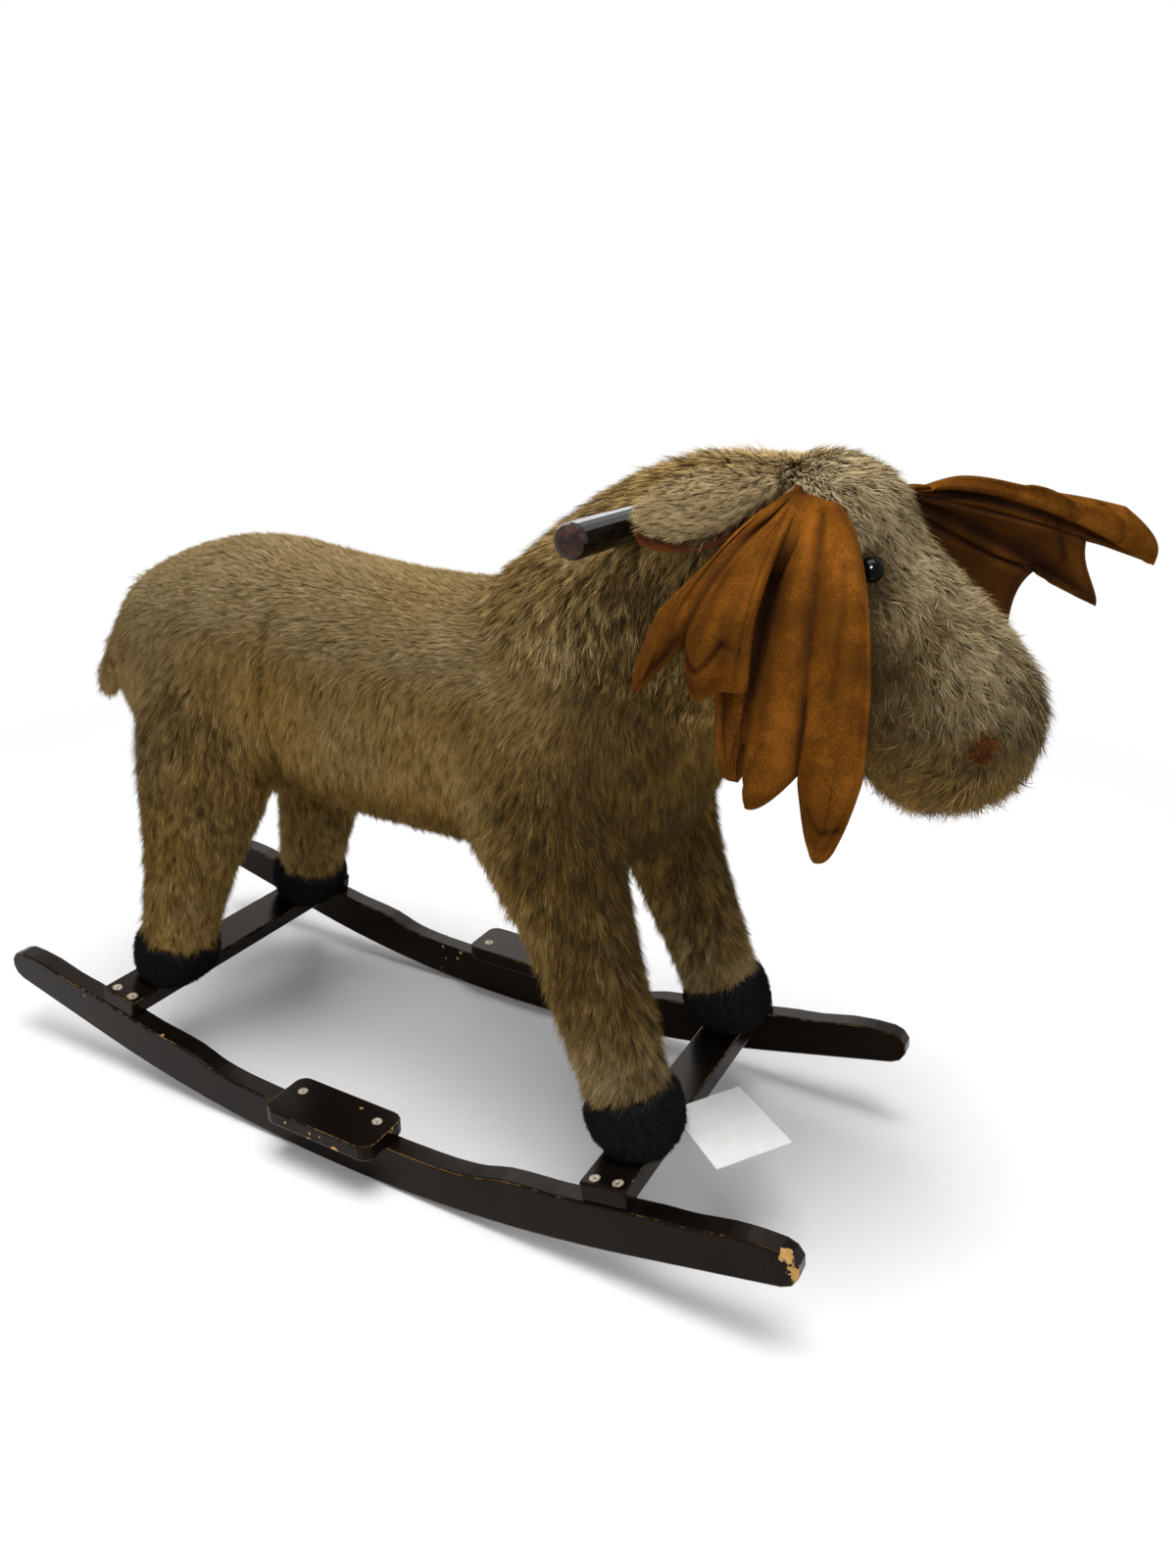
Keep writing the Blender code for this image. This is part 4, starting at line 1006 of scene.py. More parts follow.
    def zone_shares(self, mesh: Mesh) -> dict[Zone, np.ndarray]:
        """Share of each zone at each vertex of the backing, blurred across borders.

        Args:
            mesh: the backing.

        Returns:
            Zone to shares.
        """
        places, normals = rows_of(mesh), rows_of(mesh, "normal")
        nearest = np.full(len(places), 9.0)
        kind = np.zeros(len(places), int)
        zones = list(Zone)
        for node, zone in self.nodes.items():
            tree, number = search_tree(node), zones.index(zone)
            for i, place in enumerate(places):
                gap = tree.find_nearest(Vector(place), min(nearest[i], 0.05))[3]
                if gap is not None and gap < nearest[i]:
                    nearest[i] = gap
                    kind[i] = number
        flank, skull = zones.index(Zone.FLANK), zones.index(Zone.SKULL)
        kind[(kind == flank) & (normals[:, 2] > 0.45)] = zones.index(Zone.BACK)
        kind[(kind == flank) & (normals[:, 2] < -0.45)] = zones.index(Zone.BELLY)
        kind[(kind == skull) & (places[:, 0] - places[:, 2] > -0.155)] = zones.index(Zone.MUZZLE)
        shares = spread(mesh, np.eye(len(zones))[kind], 12)
        return {zone: shares[:, k] for k, zone in enumerate(zones)}

    def comb(self, places: np.ndarray, normals: np.ndarray, shares: dict[Zone, np.ndarray]) -> np.ndarray:
        """Direction that the pile lies in at each vertex.

        Args:
            places: the vertices.
            normals: their normals.
            shares: zone shares.

        Returns:
            Unit tangents.
        """
        way = np.zeros_like(places)
        for zone, share in shares.items():
            toward = np.array(self.lies[zone])
            if zone is Zone.MUZZLE:
                # The pile also fans out from the middle of the muzzle.
                toward = unit(places - np.array(self.muzzle_middle)) * 0.3 + toward
            way += share[:, None] * toward
        flat = along_surface(way, normals)
        weak = np.linalg.norm(flat, axis=1) < 0.15
        other = np.cross(normals, np.array([0.0, 1.0, 0.0]))
        flat[weak] += other[weak] * 0.3
        return unit(flat)

    def coat(self, piece: Object) -> tuple[Coat, dict[Zone, np.ndarray]]:
        """Scatter the coat's samples over the backing.

        Args:
            piece: the backing.

        Returns:
            The samples and each one's zone shares.
        """
        mesh = piece.data
        shares = self.zone_shares(mesh)
        places = rows_of(mesh)
        normals = unit(spread(mesh, rows_of(mesh, "normal"), 3))
        comb = unit(spread(mesh, self.comb(places, normals, shares), 6))
        fields = {name: sum(shares[zone] * getattr(cut, name) for zone, cut in self.cuts.items())
                  for name in (*TUFT_FIELDS, "density")}
        density = fields.pop("density")
        fields |= {"normal": normals, "comb": comb, "shadow": self.shadow(places, normals)}
        fields |= {zone.value: share for zone, share in shares.items()}
        rng = np.random.default_rng(self.seed)
        density[places[:, 2] < self.hoof_top] *= 0.5
        found = scatter(mesh, density, rng, fields)
        found["normal"] = unit(found["normal"])
        found["comb"] = unit(along_surface(found["comb"], found["normal"]))
        self.trim(found, rng)
        zones = {zone: found.pop(zone.value) for zone in Zone}
        return Coat(**found), zones

    def shadow(self, places: np.ndarray, normals: np.ndarray) -> np.ndarray:
        """Share of the tail's painted shadow at each vertex, on the pile under the tail.

        Args:
            places: the vertices.
            normals: their normals.

        Returns:
            Shares.
        """
        tail = search_tree("tail")
        share = np.zeros(len(places))
        for i in np.flatnonzero(places[:, 0] < -0.25):
            gap = tail.find_nearest(Vector(places[i] + normals[i] * self.inset))[3]
            share[i] = 1 - min(1.0, gap / (14 * MM))
        return share

    def trim(self, found: dict[str, np.ndarray], rng: np.random.Generator) -> None:
        """Shorten and tint the pile where it is clipped, pressed, worn or faded, and paint light and shade
        on it.

        Args:
            found: the samples' fields, which are changed.
            rng: the seeded source of randomness.
        """
        root, upward = found["root"], found["normal"][:, 2]
        x, y, z = root.T
        for spots, reach, shorter, darker in (
                (self.eye_spots, 24 * MM, 0.62, 0.55), (self.nostril_spots, 22 * MM, 0.45, 0.22)):
            for spot in spots:
                near = 1 - ease(np.linalg.norm(root - np.array(spot), axis=1), 10 * MM, reach)
                found["length"] *= 1 - shorter * near
                found["tone"] -= darker * near
        # Along the flank seam the pile is shorter, with painted shade in the seam's groove.
        away, side = self.seam(root)
        near = (1 - ease(away, 1 * MM, 8 * MM)) * side
        found["length"] *= 1 - 0.45 * near
        found["tone"] -= 0.12 * near
        # Streaks matted together on the near side of the neck, under the handle.
        away = np.linalg.norm((root - (0.118, -0.080, 0.478)) / (0.040, 0.05, 0.050), axis=1)
        streak = Waves(rng, 0.011, 24).at(root * (1.6, 1.0, 0.35))
        found["tone"] += 0.65 * (1 - ease(away, 0.4, 1.0)) * ease(streak, 0.55, 0.85)
        # Painted shade under the throat, between the forelegs and on the neck behind the cheeks, under the
        # antlers and ears.
        throat = ease(x, 0.06, 0.14) * ease(-z, -0.42, -0.34) * ease(z, 0.22, 0.30)
        on_head = ease(x, 0.19, 0.23)
        behind = ease(x, 0.10, 0.15) * ease(np.abs(y), 0.03, 0.06) * ease(-z, -0.52, -0.49)
        found["tone"] -= np.maximum(0.42 * throat, 0.36 * behind) * (1 - on_head)
        # Low on the legs it has faded.
        found["tone"] += 0.22 * ease(-z, -0.22, -0.14)
        # The forelegs are lighter than the hind legs, and the flank is darker towards the bottom, with
        # painted shade in the crease where it meets the haunch.
        front = ease(x, 0.0, 0.1)
        found["tone"] += (0.14 * front - 0.05) * found["leg"]
        found["tone"] += 0.12 * ease(-z, -0.24, -0.16) * front
        found["tone"] -= 0.12 * ease(-z, -0.33, -0.27) * found["flank"]
        crease = np.linalg.norm((root[:, [0, 2]] - (-0.148, 0.315)) / (0.03, 0.04), axis=1)
        found["tone"] -= 0.16 * (1 - ease(crease, 0.2, 1.0)) * side
        # The pile is longer under the chin, and the head has painted light on what looks up and painted
        # shade on what looks aside or down.
        found["length"] *= 1 + 0.35 * ease(-upward, 0.1, 0.8) * on_head
        skull = found["skull"]
        painted_light_and_shade = (0.54 * ease(upward, 0.0, 0.3) - 0.42) * skull
        painted_light_and_shade += (0.66 * ease(upward, -0.2, 0.8) - 0.42) * (1 - skull)
        found["tone"] += painted_light_and_shade * on_head
        # Painted light on the brow, and painted shade on the cheek beside the antler, which is also more
        # golden.
        folded = np.stack([x, np.abs(y), z], axis=1)
        brow = 1 - ease(np.linalg.norm(folded - (0.328, 0.030, 0.531), axis=1), 10 * MM, 34 * MM)
        cheek = 1 - ease(np.linalg.norm(folded - (0.330, 0.055, 0.474), axis=1), 12 * MM, 40 * MM)
        found["tone"] += 0.20 * brow - 0.13 * cheek
        found["age"] -= 0.30 * cheek
        # Painted shade on the pile that looks down, off the head.
        found["tone"] -= 0.14 * ease(-upward, 0.0, 0.6) * (1 - on_head)
        # Painted shadow of the tail.
        found["tone"] -= 0.25 * found.pop("shadow")
        # The coat is greyer where hands and sun reach it, on the back and the top of the head.
        found["age"] += 0.12 * Waves(rng, 0.12).at(root) - 0.45 * ease(-upward, 0.0, 0.6) * on_head
        found["age"] += 0.35 * ease(-x, 0.17, 0.26) * ease(z, 0.27, 0.33)
        found["age"] -= 0.50 * (1 - ease(upward, -0.2, 0.4)) * on_head
        found["age"] += 0.5 * ease(-z, -0.22, -0.14) * front
        found["age"] = np.clip(found["age"], 0.0, 1.0)

    def dress_in_fur(self, piece: Object, stuff: Material, head_stuff: Material) -> None:
        """Build the coat in pieces of at most PIECE_TRIANGLES.

        Args:
            piece: the backing.
            stuff: the pile's material.
            head_stuff: the paler pile of the head.
        """
        coat, zones = self.coat(piece)
        kind = np.stack([zones[zone] for zone in Zone], axis=1).argmax(axis=1)
        left = coat.root[:, 1] > 0
        for number, zone in enumerate(Zone):
            cut = self.cuts[zone]
            tufts = Tufts(width=(0.62 if cut.length > 9 * MM else 0.66) * MM, bent=cut.bent,
                          clump_size=cut.clump_size, contrast=cut.contrast)
            pile = head_stuff if zone in (Zone.SKULL, Zone.MUZZLE) else stuff
            for word, part in (("right", ~left), ("left", left)):
                picked = np.flatnonzero((kind == number) & part)
                picked = picked[np.argsort(coat.root[picked, 0], kind="stable")]
                triangles = len(picked) * (3 if cut.bent else 1)
                for order, rows in enumerate(np.array_split(picked, triangles // PIECE_TRIANGLES + 1)):
                    if len(rows) >= FEWEST_TUFTS:
                        made = tufts.build(f"fur_{zone.value}_{word}_{order + 1}", coat.only(rows))
                        fit(made, pile, BODY, "plush")


@dataclass
class SmallCoat:
    """A plush piece of its own, such as a hoof, an ear or the tail: backing and pile."""

    node: str
    body: str
    slot: str
    cut: Cut
    comb: Vector
    voxel: float = 2.5 * MM
    inset: float = 3.0 * MM
    width: float = 0.7 * MM
    fill: float = 0.8
    bare: Vector | None = None            # the side that carries no pile looks this way
    seed: int = 3

    def build(self, backing: Material, pile: Material) -> None:
        """Build the backing and its pile.

        Args:
            backing: the backing's material.
            pile: the pile's material.
        """
        piece = make_object(self.node + "_skin", packed_mesh(self.node))
        add_modifier(piece, "REMESH", mode="VOXEL", voxel_size=self.voxel)
        add_modifier(piece, "SMOOTH", factor=0.5, iterations=4)
        add_modifier(piece, "DISPLACE", strength=-self.inset, mid_level=0.0)
        settle(piece)
        piece.data.shade_smooth()
        fit(piece, backing, self.body, self.slot, self.node, fill=self.fill)
        cut = self.cut
        normals = unit(rows_of(piece.data, "normal"))
        way = np.array(self.comb) - normals * (normals @ np.array(self.comb))[:, None]
        # A little of another direction gives the comb a length where the normal runs along it.
        fields = {"normal": normals, "comb": unit(way + normals[:, ::-1] * 1e-4)}
        for name in TUFT_FIELDS:
            fields[name] = np.full(len(normals), float(getattr(cut, name)))
        rng = np.random.default_rng(self.seed)
        found = scatter(piece.data, np.full(len(normals), cut.density), rng, fields)
        coat = Coat(**found | {key: unit(found[key]) for key in ("normal", "comb")})
        if self.bare is not None:
            coat = coat.only(coat.normal @ np.array(self.bare) < 0.15)
        tufts = Tufts(width=self.width, bent=cut.bent, clump_size=cut.clump_size)
        fit(tufts.build("fur_" + self.node, coat), pile, self.body, self.slot)


# Hard parts


@dataclass
class RockingBase:
    """Rockers, slats, footrests and their screws, and the handle bar."""

    boards: tuple[str, ...] = (
        "rocker_right", "rocker_left", "cross_slat_front", "cross_slat_rear",
        "footrest_right", "footrest_left")
    screw_head: float = 4.3 * MM
    recess: float = 2.3 * MM              # half length of the cross recess
    blade: float = 0.55 * MM              # half its width
    recess_depth: float = 1.6 * MM
    cone: float = 3.2 * MM                # height of the countersunk head
    shank: float = 24 * MM
    tapers: tuple[float, float, float] = (0.47, 0.25, 0.6)   # of the head, the shank and the recess

    def build(self, lacquer: Material, handle: Material, brass: Material, timber: Material) -> None:
        """Dress the boards and cut crosses into the screws that show.

        Args:
            lacquer: the boards' material.
            handle: the dowel's material.
            brass: the screws' material.
            timber: the hidden frame's material.
        """
        posts = (f"leg_post_{end}_{side}" for end in ("front", "rear") for side in SIDES)
        for stuff, nodes in ((lacquer, self.boards), (handle, ("handle_bar",)),
                             (timber, ("back_board", "neck_post", *posts))):
            for node in nodes:
                dress(bpy.data.objects[node], stuff)
        screws = sorted(o.name for o in bpy.data.objects if "screw" in o.name)
        for node in screws:
            if node.startswith("post_screw"):
                dress(bpy.data.objects[node], brass)
            else:
                self.screw(node, brass)
        LOG.info("base: %d boards, %d screws", len(self.boards), len(screws))

    def screw(self, node: str, brass: Material) -> None:
        """Replace a packed screw with one that has a cross recess.

        Args:
            node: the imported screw's name.
            brass: its material.
        """
        bm = packed_mesh(node)
        centre, normal = self.head_of(bm)
        bm.free()
        bm = bmesh.new()
        bmesh.ops.create_circle(bm, cap_ends=True, cap_tris=False, radius=self.screw_head, segments=32)
        low = self.push(bm, bm.faces[:], self.cone, self.tapers[0], keep=True)
        tail = [f for f in bm.faces if all(v in low for v in f.verts)]
        self.push(bm, tail, self.shank, self.tapers[1])
        bmesh.ops.recalc_face_normals(bm, faces=bm.faces[:])
        for offset in (-self.blade, self.blade, -self.recess, self.recess):
            for way in ((1, 0, 0), (0, 1, 0)):
                top = [f for f in bm.faces if f.calc_center_median().z > -FACE]
                around = dict.fromkeys(part for f in top for part in (*f.edges, *f.verts))
                bmesh.ops.bisect_plane(bm, geom=[*top, *around], plane_co=Vector(way) * offset, plane_no=way)
        cross = []
        for face in bm.faces:
            spot = face.calc_center_median()
            near, far = sorted((abs(spot.x), abs(spot.y)))
            if spot.z >= -FACE and near < self.blade and far < self.recess:
                cross.append(face)
        self.push(bm, cross, self.recess_depth, self.tapers[2])
        bmesh.ops.recalc_face_normals(bm, faces=bm.faces[:])
        bm = in_order(bm)
        # Painted shade and dirt fill the recess and ring the head.
        layer = bm.verts.layers.float.new("dirt")
        for vert in bm.verts:
            rim = math.hypot(vert.co.x, vert.co.y) > self.screw_head * 0.95
            vert[layer] = 1.0 if vert.co.z < -FACE else 0.55 * rim
        turn = normal.to_track_quat("Z", "Y").to_matrix().to_4x4()
        spin = Matrix.Rotation(0.7 * (hash_of(node) % 9), 4, "Z")
        bmesh.ops.transform(bm, matrix=Matrix.Translation(centre) @ turn @ spin, verts=bm.verts[:])
        fit(make_object(node + "_crosshead", bm, 40.0), brass, BODY, "brass", node)

    def push(self, bm: BMesh, faces: list[BMFace], depth: float, taper: float,
             keep: bool = False) -> list[BMVert]:
        """Extrude faces straight down and narrow their far end.

        Args:
            bm: the screw.
            faces: the faces.
            depth: how far down.
            taper: size of the far end, as a share of the near one.
            keep: whether the faces stay where they were.

        Returns:
            The vertices of the far end.
        """
        made = bmesh.ops.extrude_face_region(bm, geom=faces)
        if not keep:
            bmesh.ops.delete(bm, geom=faces, context="FACES_ONLY")
        end = [item for item in made["geom"] if isinstance(item, BMVert)]
        bmesh.ops.translate(bm, verts=end, vec=(0, 0, -depth))
        bmesh.ops.scale(bm, verts=end, vec=(taper, taper, 1.0))
        return end

    def head_of(self, bm: BMesh) -> tuple[Vector, Vector]:
        """Find the middle of a packed screw's face and the way it looks.

        Args:
            bm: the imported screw.

        Returns:
            The middle and the unit normal.
        """
        points = np.array([v.co[:] for v in bm.verts])
        middle = points.mean(axis=0)
        axis = np.linalg.eigh(np.cov((points - middle).T))[1][:, -1]
        axis *= math.copysign(1.0, axis[2])
        along = (points - middle) @ axis
        face = [v for v, reach in zip(bm.verts, along) if reach > along.max() - 1.0 * MM]
        flat = (f for f in bm.faces if all(v in face for v in f.verts))
        normal = sum((f.normal * f.calc_area() for f in flat), Vector())
        return sum((v.co for v in face), Vector()) / len(face), normal.normalized()


def hash_of(word: str) -> int:
    """Small number that depends only on a word."""
    return sum((i + 1) * ord(letter) for i, letter in enumerate(word))


# Antlers

Rib = tuple[tuple[float, float, float], tuple[float, float, float], tuple[float, float, float]]

# Root on the seam, middle and end of each rib, in millimetres from the middle of the skull. Odd ribs
# end in a tip and even ones in a notch. The drooping antler is folded double: its rear lobe hangs
# over the front one.
DROOPING_FRONT: tuple[Rib, ...] = (
    ((28, 56, 33), (58, 90, -36), (62, 96, -113)),
    ((22, 55, 34), (49, 98, -40), (40, 97, -171)),
    ((14, 55, 36), (26, 102, -34), (26, 99, -116)),
    ((7, 54, 38), (4, 96, -36), (-5, 101, -144)),
    ((3, 54, 40), (-8, 86, -30), (-11, 98, -104)),
    ((1, 54, 41), (-14, 82, -24), (-14, 101, -128)),
    ((-1, 54, 42), (-21, 82, -18), (-27, 100, -60)),
)
DROOPING_REAR: tuple[Rib, ...] = (
    ((1, 56, 42), (-1, 109, -8), (-7, 114, -60)),
    ((0, 56, 42), (-3, 110, -9), (-8, 115, -66)),
    ((-1, 56, 43), (-11, 112, -9), (-21, 117, -66)),
    ((-2, 55, 43), (-20, 112, -10), (-36, 118, -75)),
    ((-3, 55, 44), (-29, 108, 1), (-45, 115, -42)),
    ((-4, 54, 45), (-33, 104, -1), (-75, 117, -76)),
    ((-6, 53, 46), (-37, 94, 8), (-65, 108, -25)),
)
STANDING: tuple[Rib, ...] = (
    ((29, 56, 33), (100, 116, 32), (160, 156, 22)),
    ((26, 55, 34), (104, 114, 26), (184, 167, -18)),
    ((20, 55, 36), (90, 108, 16), (140, 144, 0)),
    ((14, 54, 38), (85, 102, 3), (155, 140, -45)),
    ((8, 54, 40), (66, 96, 0), (113, 117, -21)),
    ((5, 54, 41), (48, 88, -17), (99, 106, -86)),
    ((3, 54, 42), (35, 86, -17), (77, 100, -50)),
    ((1, 54, 43), (25, 84, -22), (57, 98, -87)),
    ((-1, 53, 44), (13, 84, -12), (30, 95, -54)),
    ((-3, 53, 45), (-3, 84, -17), (0, 100, -82)),
    ((-5, 52, 46), (-13, 82, -2), (-15, 95, -42)),
)


@dataclass(frozen=True)
class Fold:
    """Fold of an antler's cloth, placed in ribs: it falls from start to deep and rises to end."""

    start: float
    deep: float
    end: float
    depth: float                          # towards the head, in millimetres
    # Painted shade in the fold; a negative one takes painted shade away.
    shade: float = 0.0

    def at(self, ribs: np.ndarray) -> np.ndarray:
        """Share of the fold's depth at each place."""
        return ease(ribs, self.start, self.deep) * (1 - ease(ribs, self.deep, self.end))


@dataclass(frozen=True)
class Crease:
    """Short crease pressed into the cloth between two places, each a rib and a share of its length."""

    start: tuple[float, float]
    end: tuple[float, float]
    depth: float                          # in millimetres, as its width
    width: float
    # Painted shade in the crease.
    shade: float


FRONT_FOLDS = (
    Fold(2.7, 4.3, 9.0, 10, 0.66), Fold(0.25, 1.1, 2.0, -2.6), Fold(1.6, 1.95, 2.3, 1.4, 0.15),
    Fold(2.0, 2.5, 3.1, -1.6), Fold(4.5, 5.0, 5.6, -3, -0.7),
)
FRONT_CREASES = (
    Crease((0.55, 0.93), (1.5, 0.92), 2.5, 2.6, 0.6),
    Crease((0.75, 0.965), (1.3, 0.95), 1.2, 1.6, 0.3),
    Crease((1.15, 0.25), (1.35, 0.62), 1.6, 3.0, 0.3),
    Crease((2.7, 0.80), (3.4, 0.97), 1.2, 2.0, 0.25),
    Crease((1.95, 0.70), (2.0, 0.99), 1.2, 1.2, 0.55),
)
# The last fold lays painted shade over most of the rear lobe.
REAR_FOLDS = (
    Fold(-0.5, 0.8, 2.2, -3), Fold(2.6, 3.6, 4.6, 4, 0.15), Fold(4.2, 5.0, 5.7, -3),
    Fold(-3.0, 2.5, 9.0, 0.0, 0.28),
)
REAR_CREASES = (
    Crease((3.9, 0.97), (2.2, 0.74), 1.8, 2.4, 0.5),
    Crease((2.2, 0.74), (1.2, 0.78), 1.2, 2.6, 0.25),
    Crease((5.0, 0.97), (4.2, 0.86), 2.0, 2.2, 0.5),
    Crease((3.2, 0.93), (1.6, 0.92), 0.9, 3.0, 0.2),
    Crease((5.6, 0.72), (4.6, 0.76), 1.0, 2.6, 0.25),
)
STANDING_FOLDS = (
    Fold(-0.5, 0.45, 1.25, 6, -0.2), Fold(1.0, 1.3, 1.8, -6, 0.8), Fold(1.7, 2.2, 2.8, 5, 0.1),
    Fold(2.6, 3.0, 3.8, -4, 0.4), Fold(4.4, 5.4, 6.0, 3, 0.2), Fold(6.4, 7.0, 7.6, -3, 0.4),
)
STANDING_CREASES = (
    Crease((0.0, 0.48), (1.1, 0.66), 3.4, 4.0, 0.45),
    Crease((0.1, 0.80), (1.1, 0.84), 2.6, 3.0, 0.4),
    Crease((1.6, 0.70), (2.6, 0.82), 1.4, 2.6, 0.3),
    Crease((3.5, 0.95), (4.0, 0.60), 1.2, 2.2, 0.35),
)


@dataclass
class Antler:
    """Padded lobe of a palmate antler in faux suede: two sheets, hem, channels and stitches."""

    side: str
    lobe: str
    ribs: tuple[Rib, ...]
    skull: Vector = field(default_factory=lambda: Vector((0.2647, 0.0, 0.517)))
    half: float = 6.0 * MM                # half thickness of the padding
    roll: float = 12.5 * MM               # width of the rounded edge
    bead: float = 4.2 * MM                # radius of the sewn root
    lift: float = 4.8 * MM                # off the head, for each of the first two steps
    step: float = 0.125                   # one such step, as a share of a rib
    most_lift: float = 22 * MM            # of any point, off the head
    gloom: float = 0.0                    # painted shade of the cloth that looks at the head
    notches: tuple[int, ...] = (2, 4, 6, 8)
    across: int = 176                     # columns of the mesh
    along: int = 68                       # rows of the mesh
    blunt: float = 0.30                   # rounding of a tine's tip, as a share of its half width
    hollow: float = 0.0                   # 0 gives straight notches, more gives round ones
    bulge: float = 1.5                    # 1 gives straight outer edges, more gives full ones
    folds: tuple[Fold, ...] = ()
    creases: tuple[Crease, ...] = ()
    channel: float = 2.6 * MM             # half width of a sewn channel
    hem: float = 4.5 * MM                 # topstitch, in from the edge
    fold: float = 2.2 * MM                # height of the soft folds
    stitch: float = 2.6 * MM
    pitch: float = 3.8 * MM
    yarn: float = 0.34 * MM               # half thickness of a stitch
    proud: float = 0.12 * MM              # of a stitch's middle over the cloth
    first_row: int = 6                    # of the stitches, below the sewn root
    seed: float = 3.7

    def keys(self, tree: BVHTree) -> list[list[Vector]]:
        """Ribs in place, with their roots on one straight seam on the skull.

        Args:
            tree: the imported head.

        Returns:
            Root, middle and end of each rib.
        """
        flip = Vector((1, SIDES[self.side], 1))
        keys = [[self.skull + Vector([value * MM for value in point]) * flip for point in rib]
                for rib in self.ribs]
        spot, normal, _, _ = tree.find_nearest(keys[len(keys) // 2][0])
        middle = spot + normal * (self.bead + GAP)
        seam = keys[-1][0] - keys[0][0]
        seam = (seam - normal * seam.dot(normal)).normalized()
        for rib in keys:
            rib[0] = middle + seam * (rib[0] - middle).dot(seam)
        return keys

    def edge_point(self, keys: list[list[Vector]], rib: int, share: float) -> Vector:
        """Point of the free edge between two ribs: blunt at a tine's tip, sharp in a notch.

        Args:
            keys: the ribs in place; the odd ones end in a tip.
            rib: the first of the two ribs.
            share: how far the point is on the way to the next rib.

        Returns:
            The point.
        """
        tip, notch, away = (rib, rib + 1, share) if rib % 2 else (rib + 1, rib, 1 - share)
        end, other = keys[tip][2], keys[notch][2]
        axis = (end - keys[tip][0]).normalized()
        back = (other - end).dot(axis)
        side = other - end - axis * back
        drop = (math.hypot(away, self.blunt) - self.blunt) / (math.hypot(1.0, self.blunt) - self.blunt)
        outside = notch in (0, len(keys) - 1)
        drop = drop ** self.bulge if outside else 1 - (1 - drop) ** (1 + self.hollow)
        return end + side * away + axis * back * drop

    def middle_sheet(self, keys: list[list[Vector]], tree: BVHTree) -> np.ndarray:
        """Middle surface of the padding as a grid of points.

        Args:
            keys: the ribs in place.
            tree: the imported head.

        Returns:
            Points by column and row.
        """
        grid = np.zeros((self.across + 1, self.along + 1, 3))
        last = len(keys) - 1
        for i in range(self.across + 1):
            place = last * i / self.across
            rib = min(int(place), last - 1)
            root, knee, _ = (a.lerp(b, place - rib) for a, b in zip(keys[rib], keys[rib + 1]))
            end = self.edge_point(keys, rib, place - rib)
            control = knee * 2 - (root + end) / 2
            for j in range(self.along + 1):
                s = j / self.along
                grid[i, j] = root * (1 - s) ** 2 + control * 2 * s * (1 - s) + end * s ** 2
        for _ in range(2):
            grid += self.normals(grid) * self.clearance(grid, tree)[..., None]
        return grid

    def clearance(self, grid: np.ndarray, tree: BVHTree) -> np.ndarray:
        """How far each grid point has to move off the head, blurred so that the sheet stays smooth.

        Args:
            grid: points by column and row.
            tree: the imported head.

        Returns:
            Distances by column and row.
        """
        outward = self.normals(grid)
        side = Vector((0, SIDES[self.side], 0))
        need = np.zeros(grid.shape[:2])
        start = self.bead + GAP
        full = self.half + 2 * self.lift
        for i, j in np.ndindex(need.shape):
            if j:
                point = Vector(grid[i, j])
                _, normal, _, gap = tree.find_nearest(point)
                if tree.ray_cast(point, side)[0] is not None:
                    gap = -gap
                wanted = start + (full - start) * min(j / self.along / (2 * self.step), 1.0)
                facing = min(1.0, max(0.6, normal.dot(Vector(outward[i, j]))))
                need[i, j] = min(max(0.0, wanted - gap) / facing, self.most_lift)
        # The blur may not bring a point back to the head, but for the last rounds, which only smooth.
        soft = need
        for turn in range(14):
            wide = np.pad(soft, ((3, 3), (1, 1)), mode="edge")
            rows = (wide[:, :-2] + wide[:, 1:-1] + wide[:, 2:]) / 3
            soft = sum(rows[k:k + len(need)] for k in range(7)) / 7
            if turn < 9:
                soft = np.maximum(soft, need)
        return soft * ease(np.arange(self.along + 1) / self.along, 0.0, 0.06)[None, :]

    def distance(self, grid: np.ndarray, line: np.ndarray) -> np.ndarray:
        """Distance of each grid point to a chain of points.

        Args:
            grid: points by column and row.
            line: the chain.

        Returns:
            Distances by column and row.
        """
        points = grid.reshape(-1, 3)
        best = np.full(len(points), 9.0)
        for a, b in zip(line[:-1], line[1:]):
            run = b - a
            t = np.clip((points - a) @ run / max(run @ run, 1e-12), 0, 1)
            best = np.minimum(best, np.linalg.norm(points - a - t[:, None] * run, axis=1))
        return best.reshape(grid.shape[:2])

    def normals(self, grid: np.ndarray) -> np.ndarray:
        """Unit normals of the middle sheet, on the side that looks away from the head."""
        flat = np.cross(np.gradient(grid, axis=1), np.gradient(grid, axis=0)).reshape(-1, 3)
        away = math.copysign(1.0, flat[:, 1].sum() * SIDES[self.side])
        return away * unit(flat).reshape(grid.shape)

    def build(self, suede: Material, thread: Material, tree: BVHTree) -> None:
        """Build the padding and its thread.

        Args:
            suede: the cover's material.
            thread: the thread's material.
            tree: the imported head.
        """
        keys = self.keys(tree)
        grid = self.middle_sheet(keys, tree)
        normals = self.normals(grid)
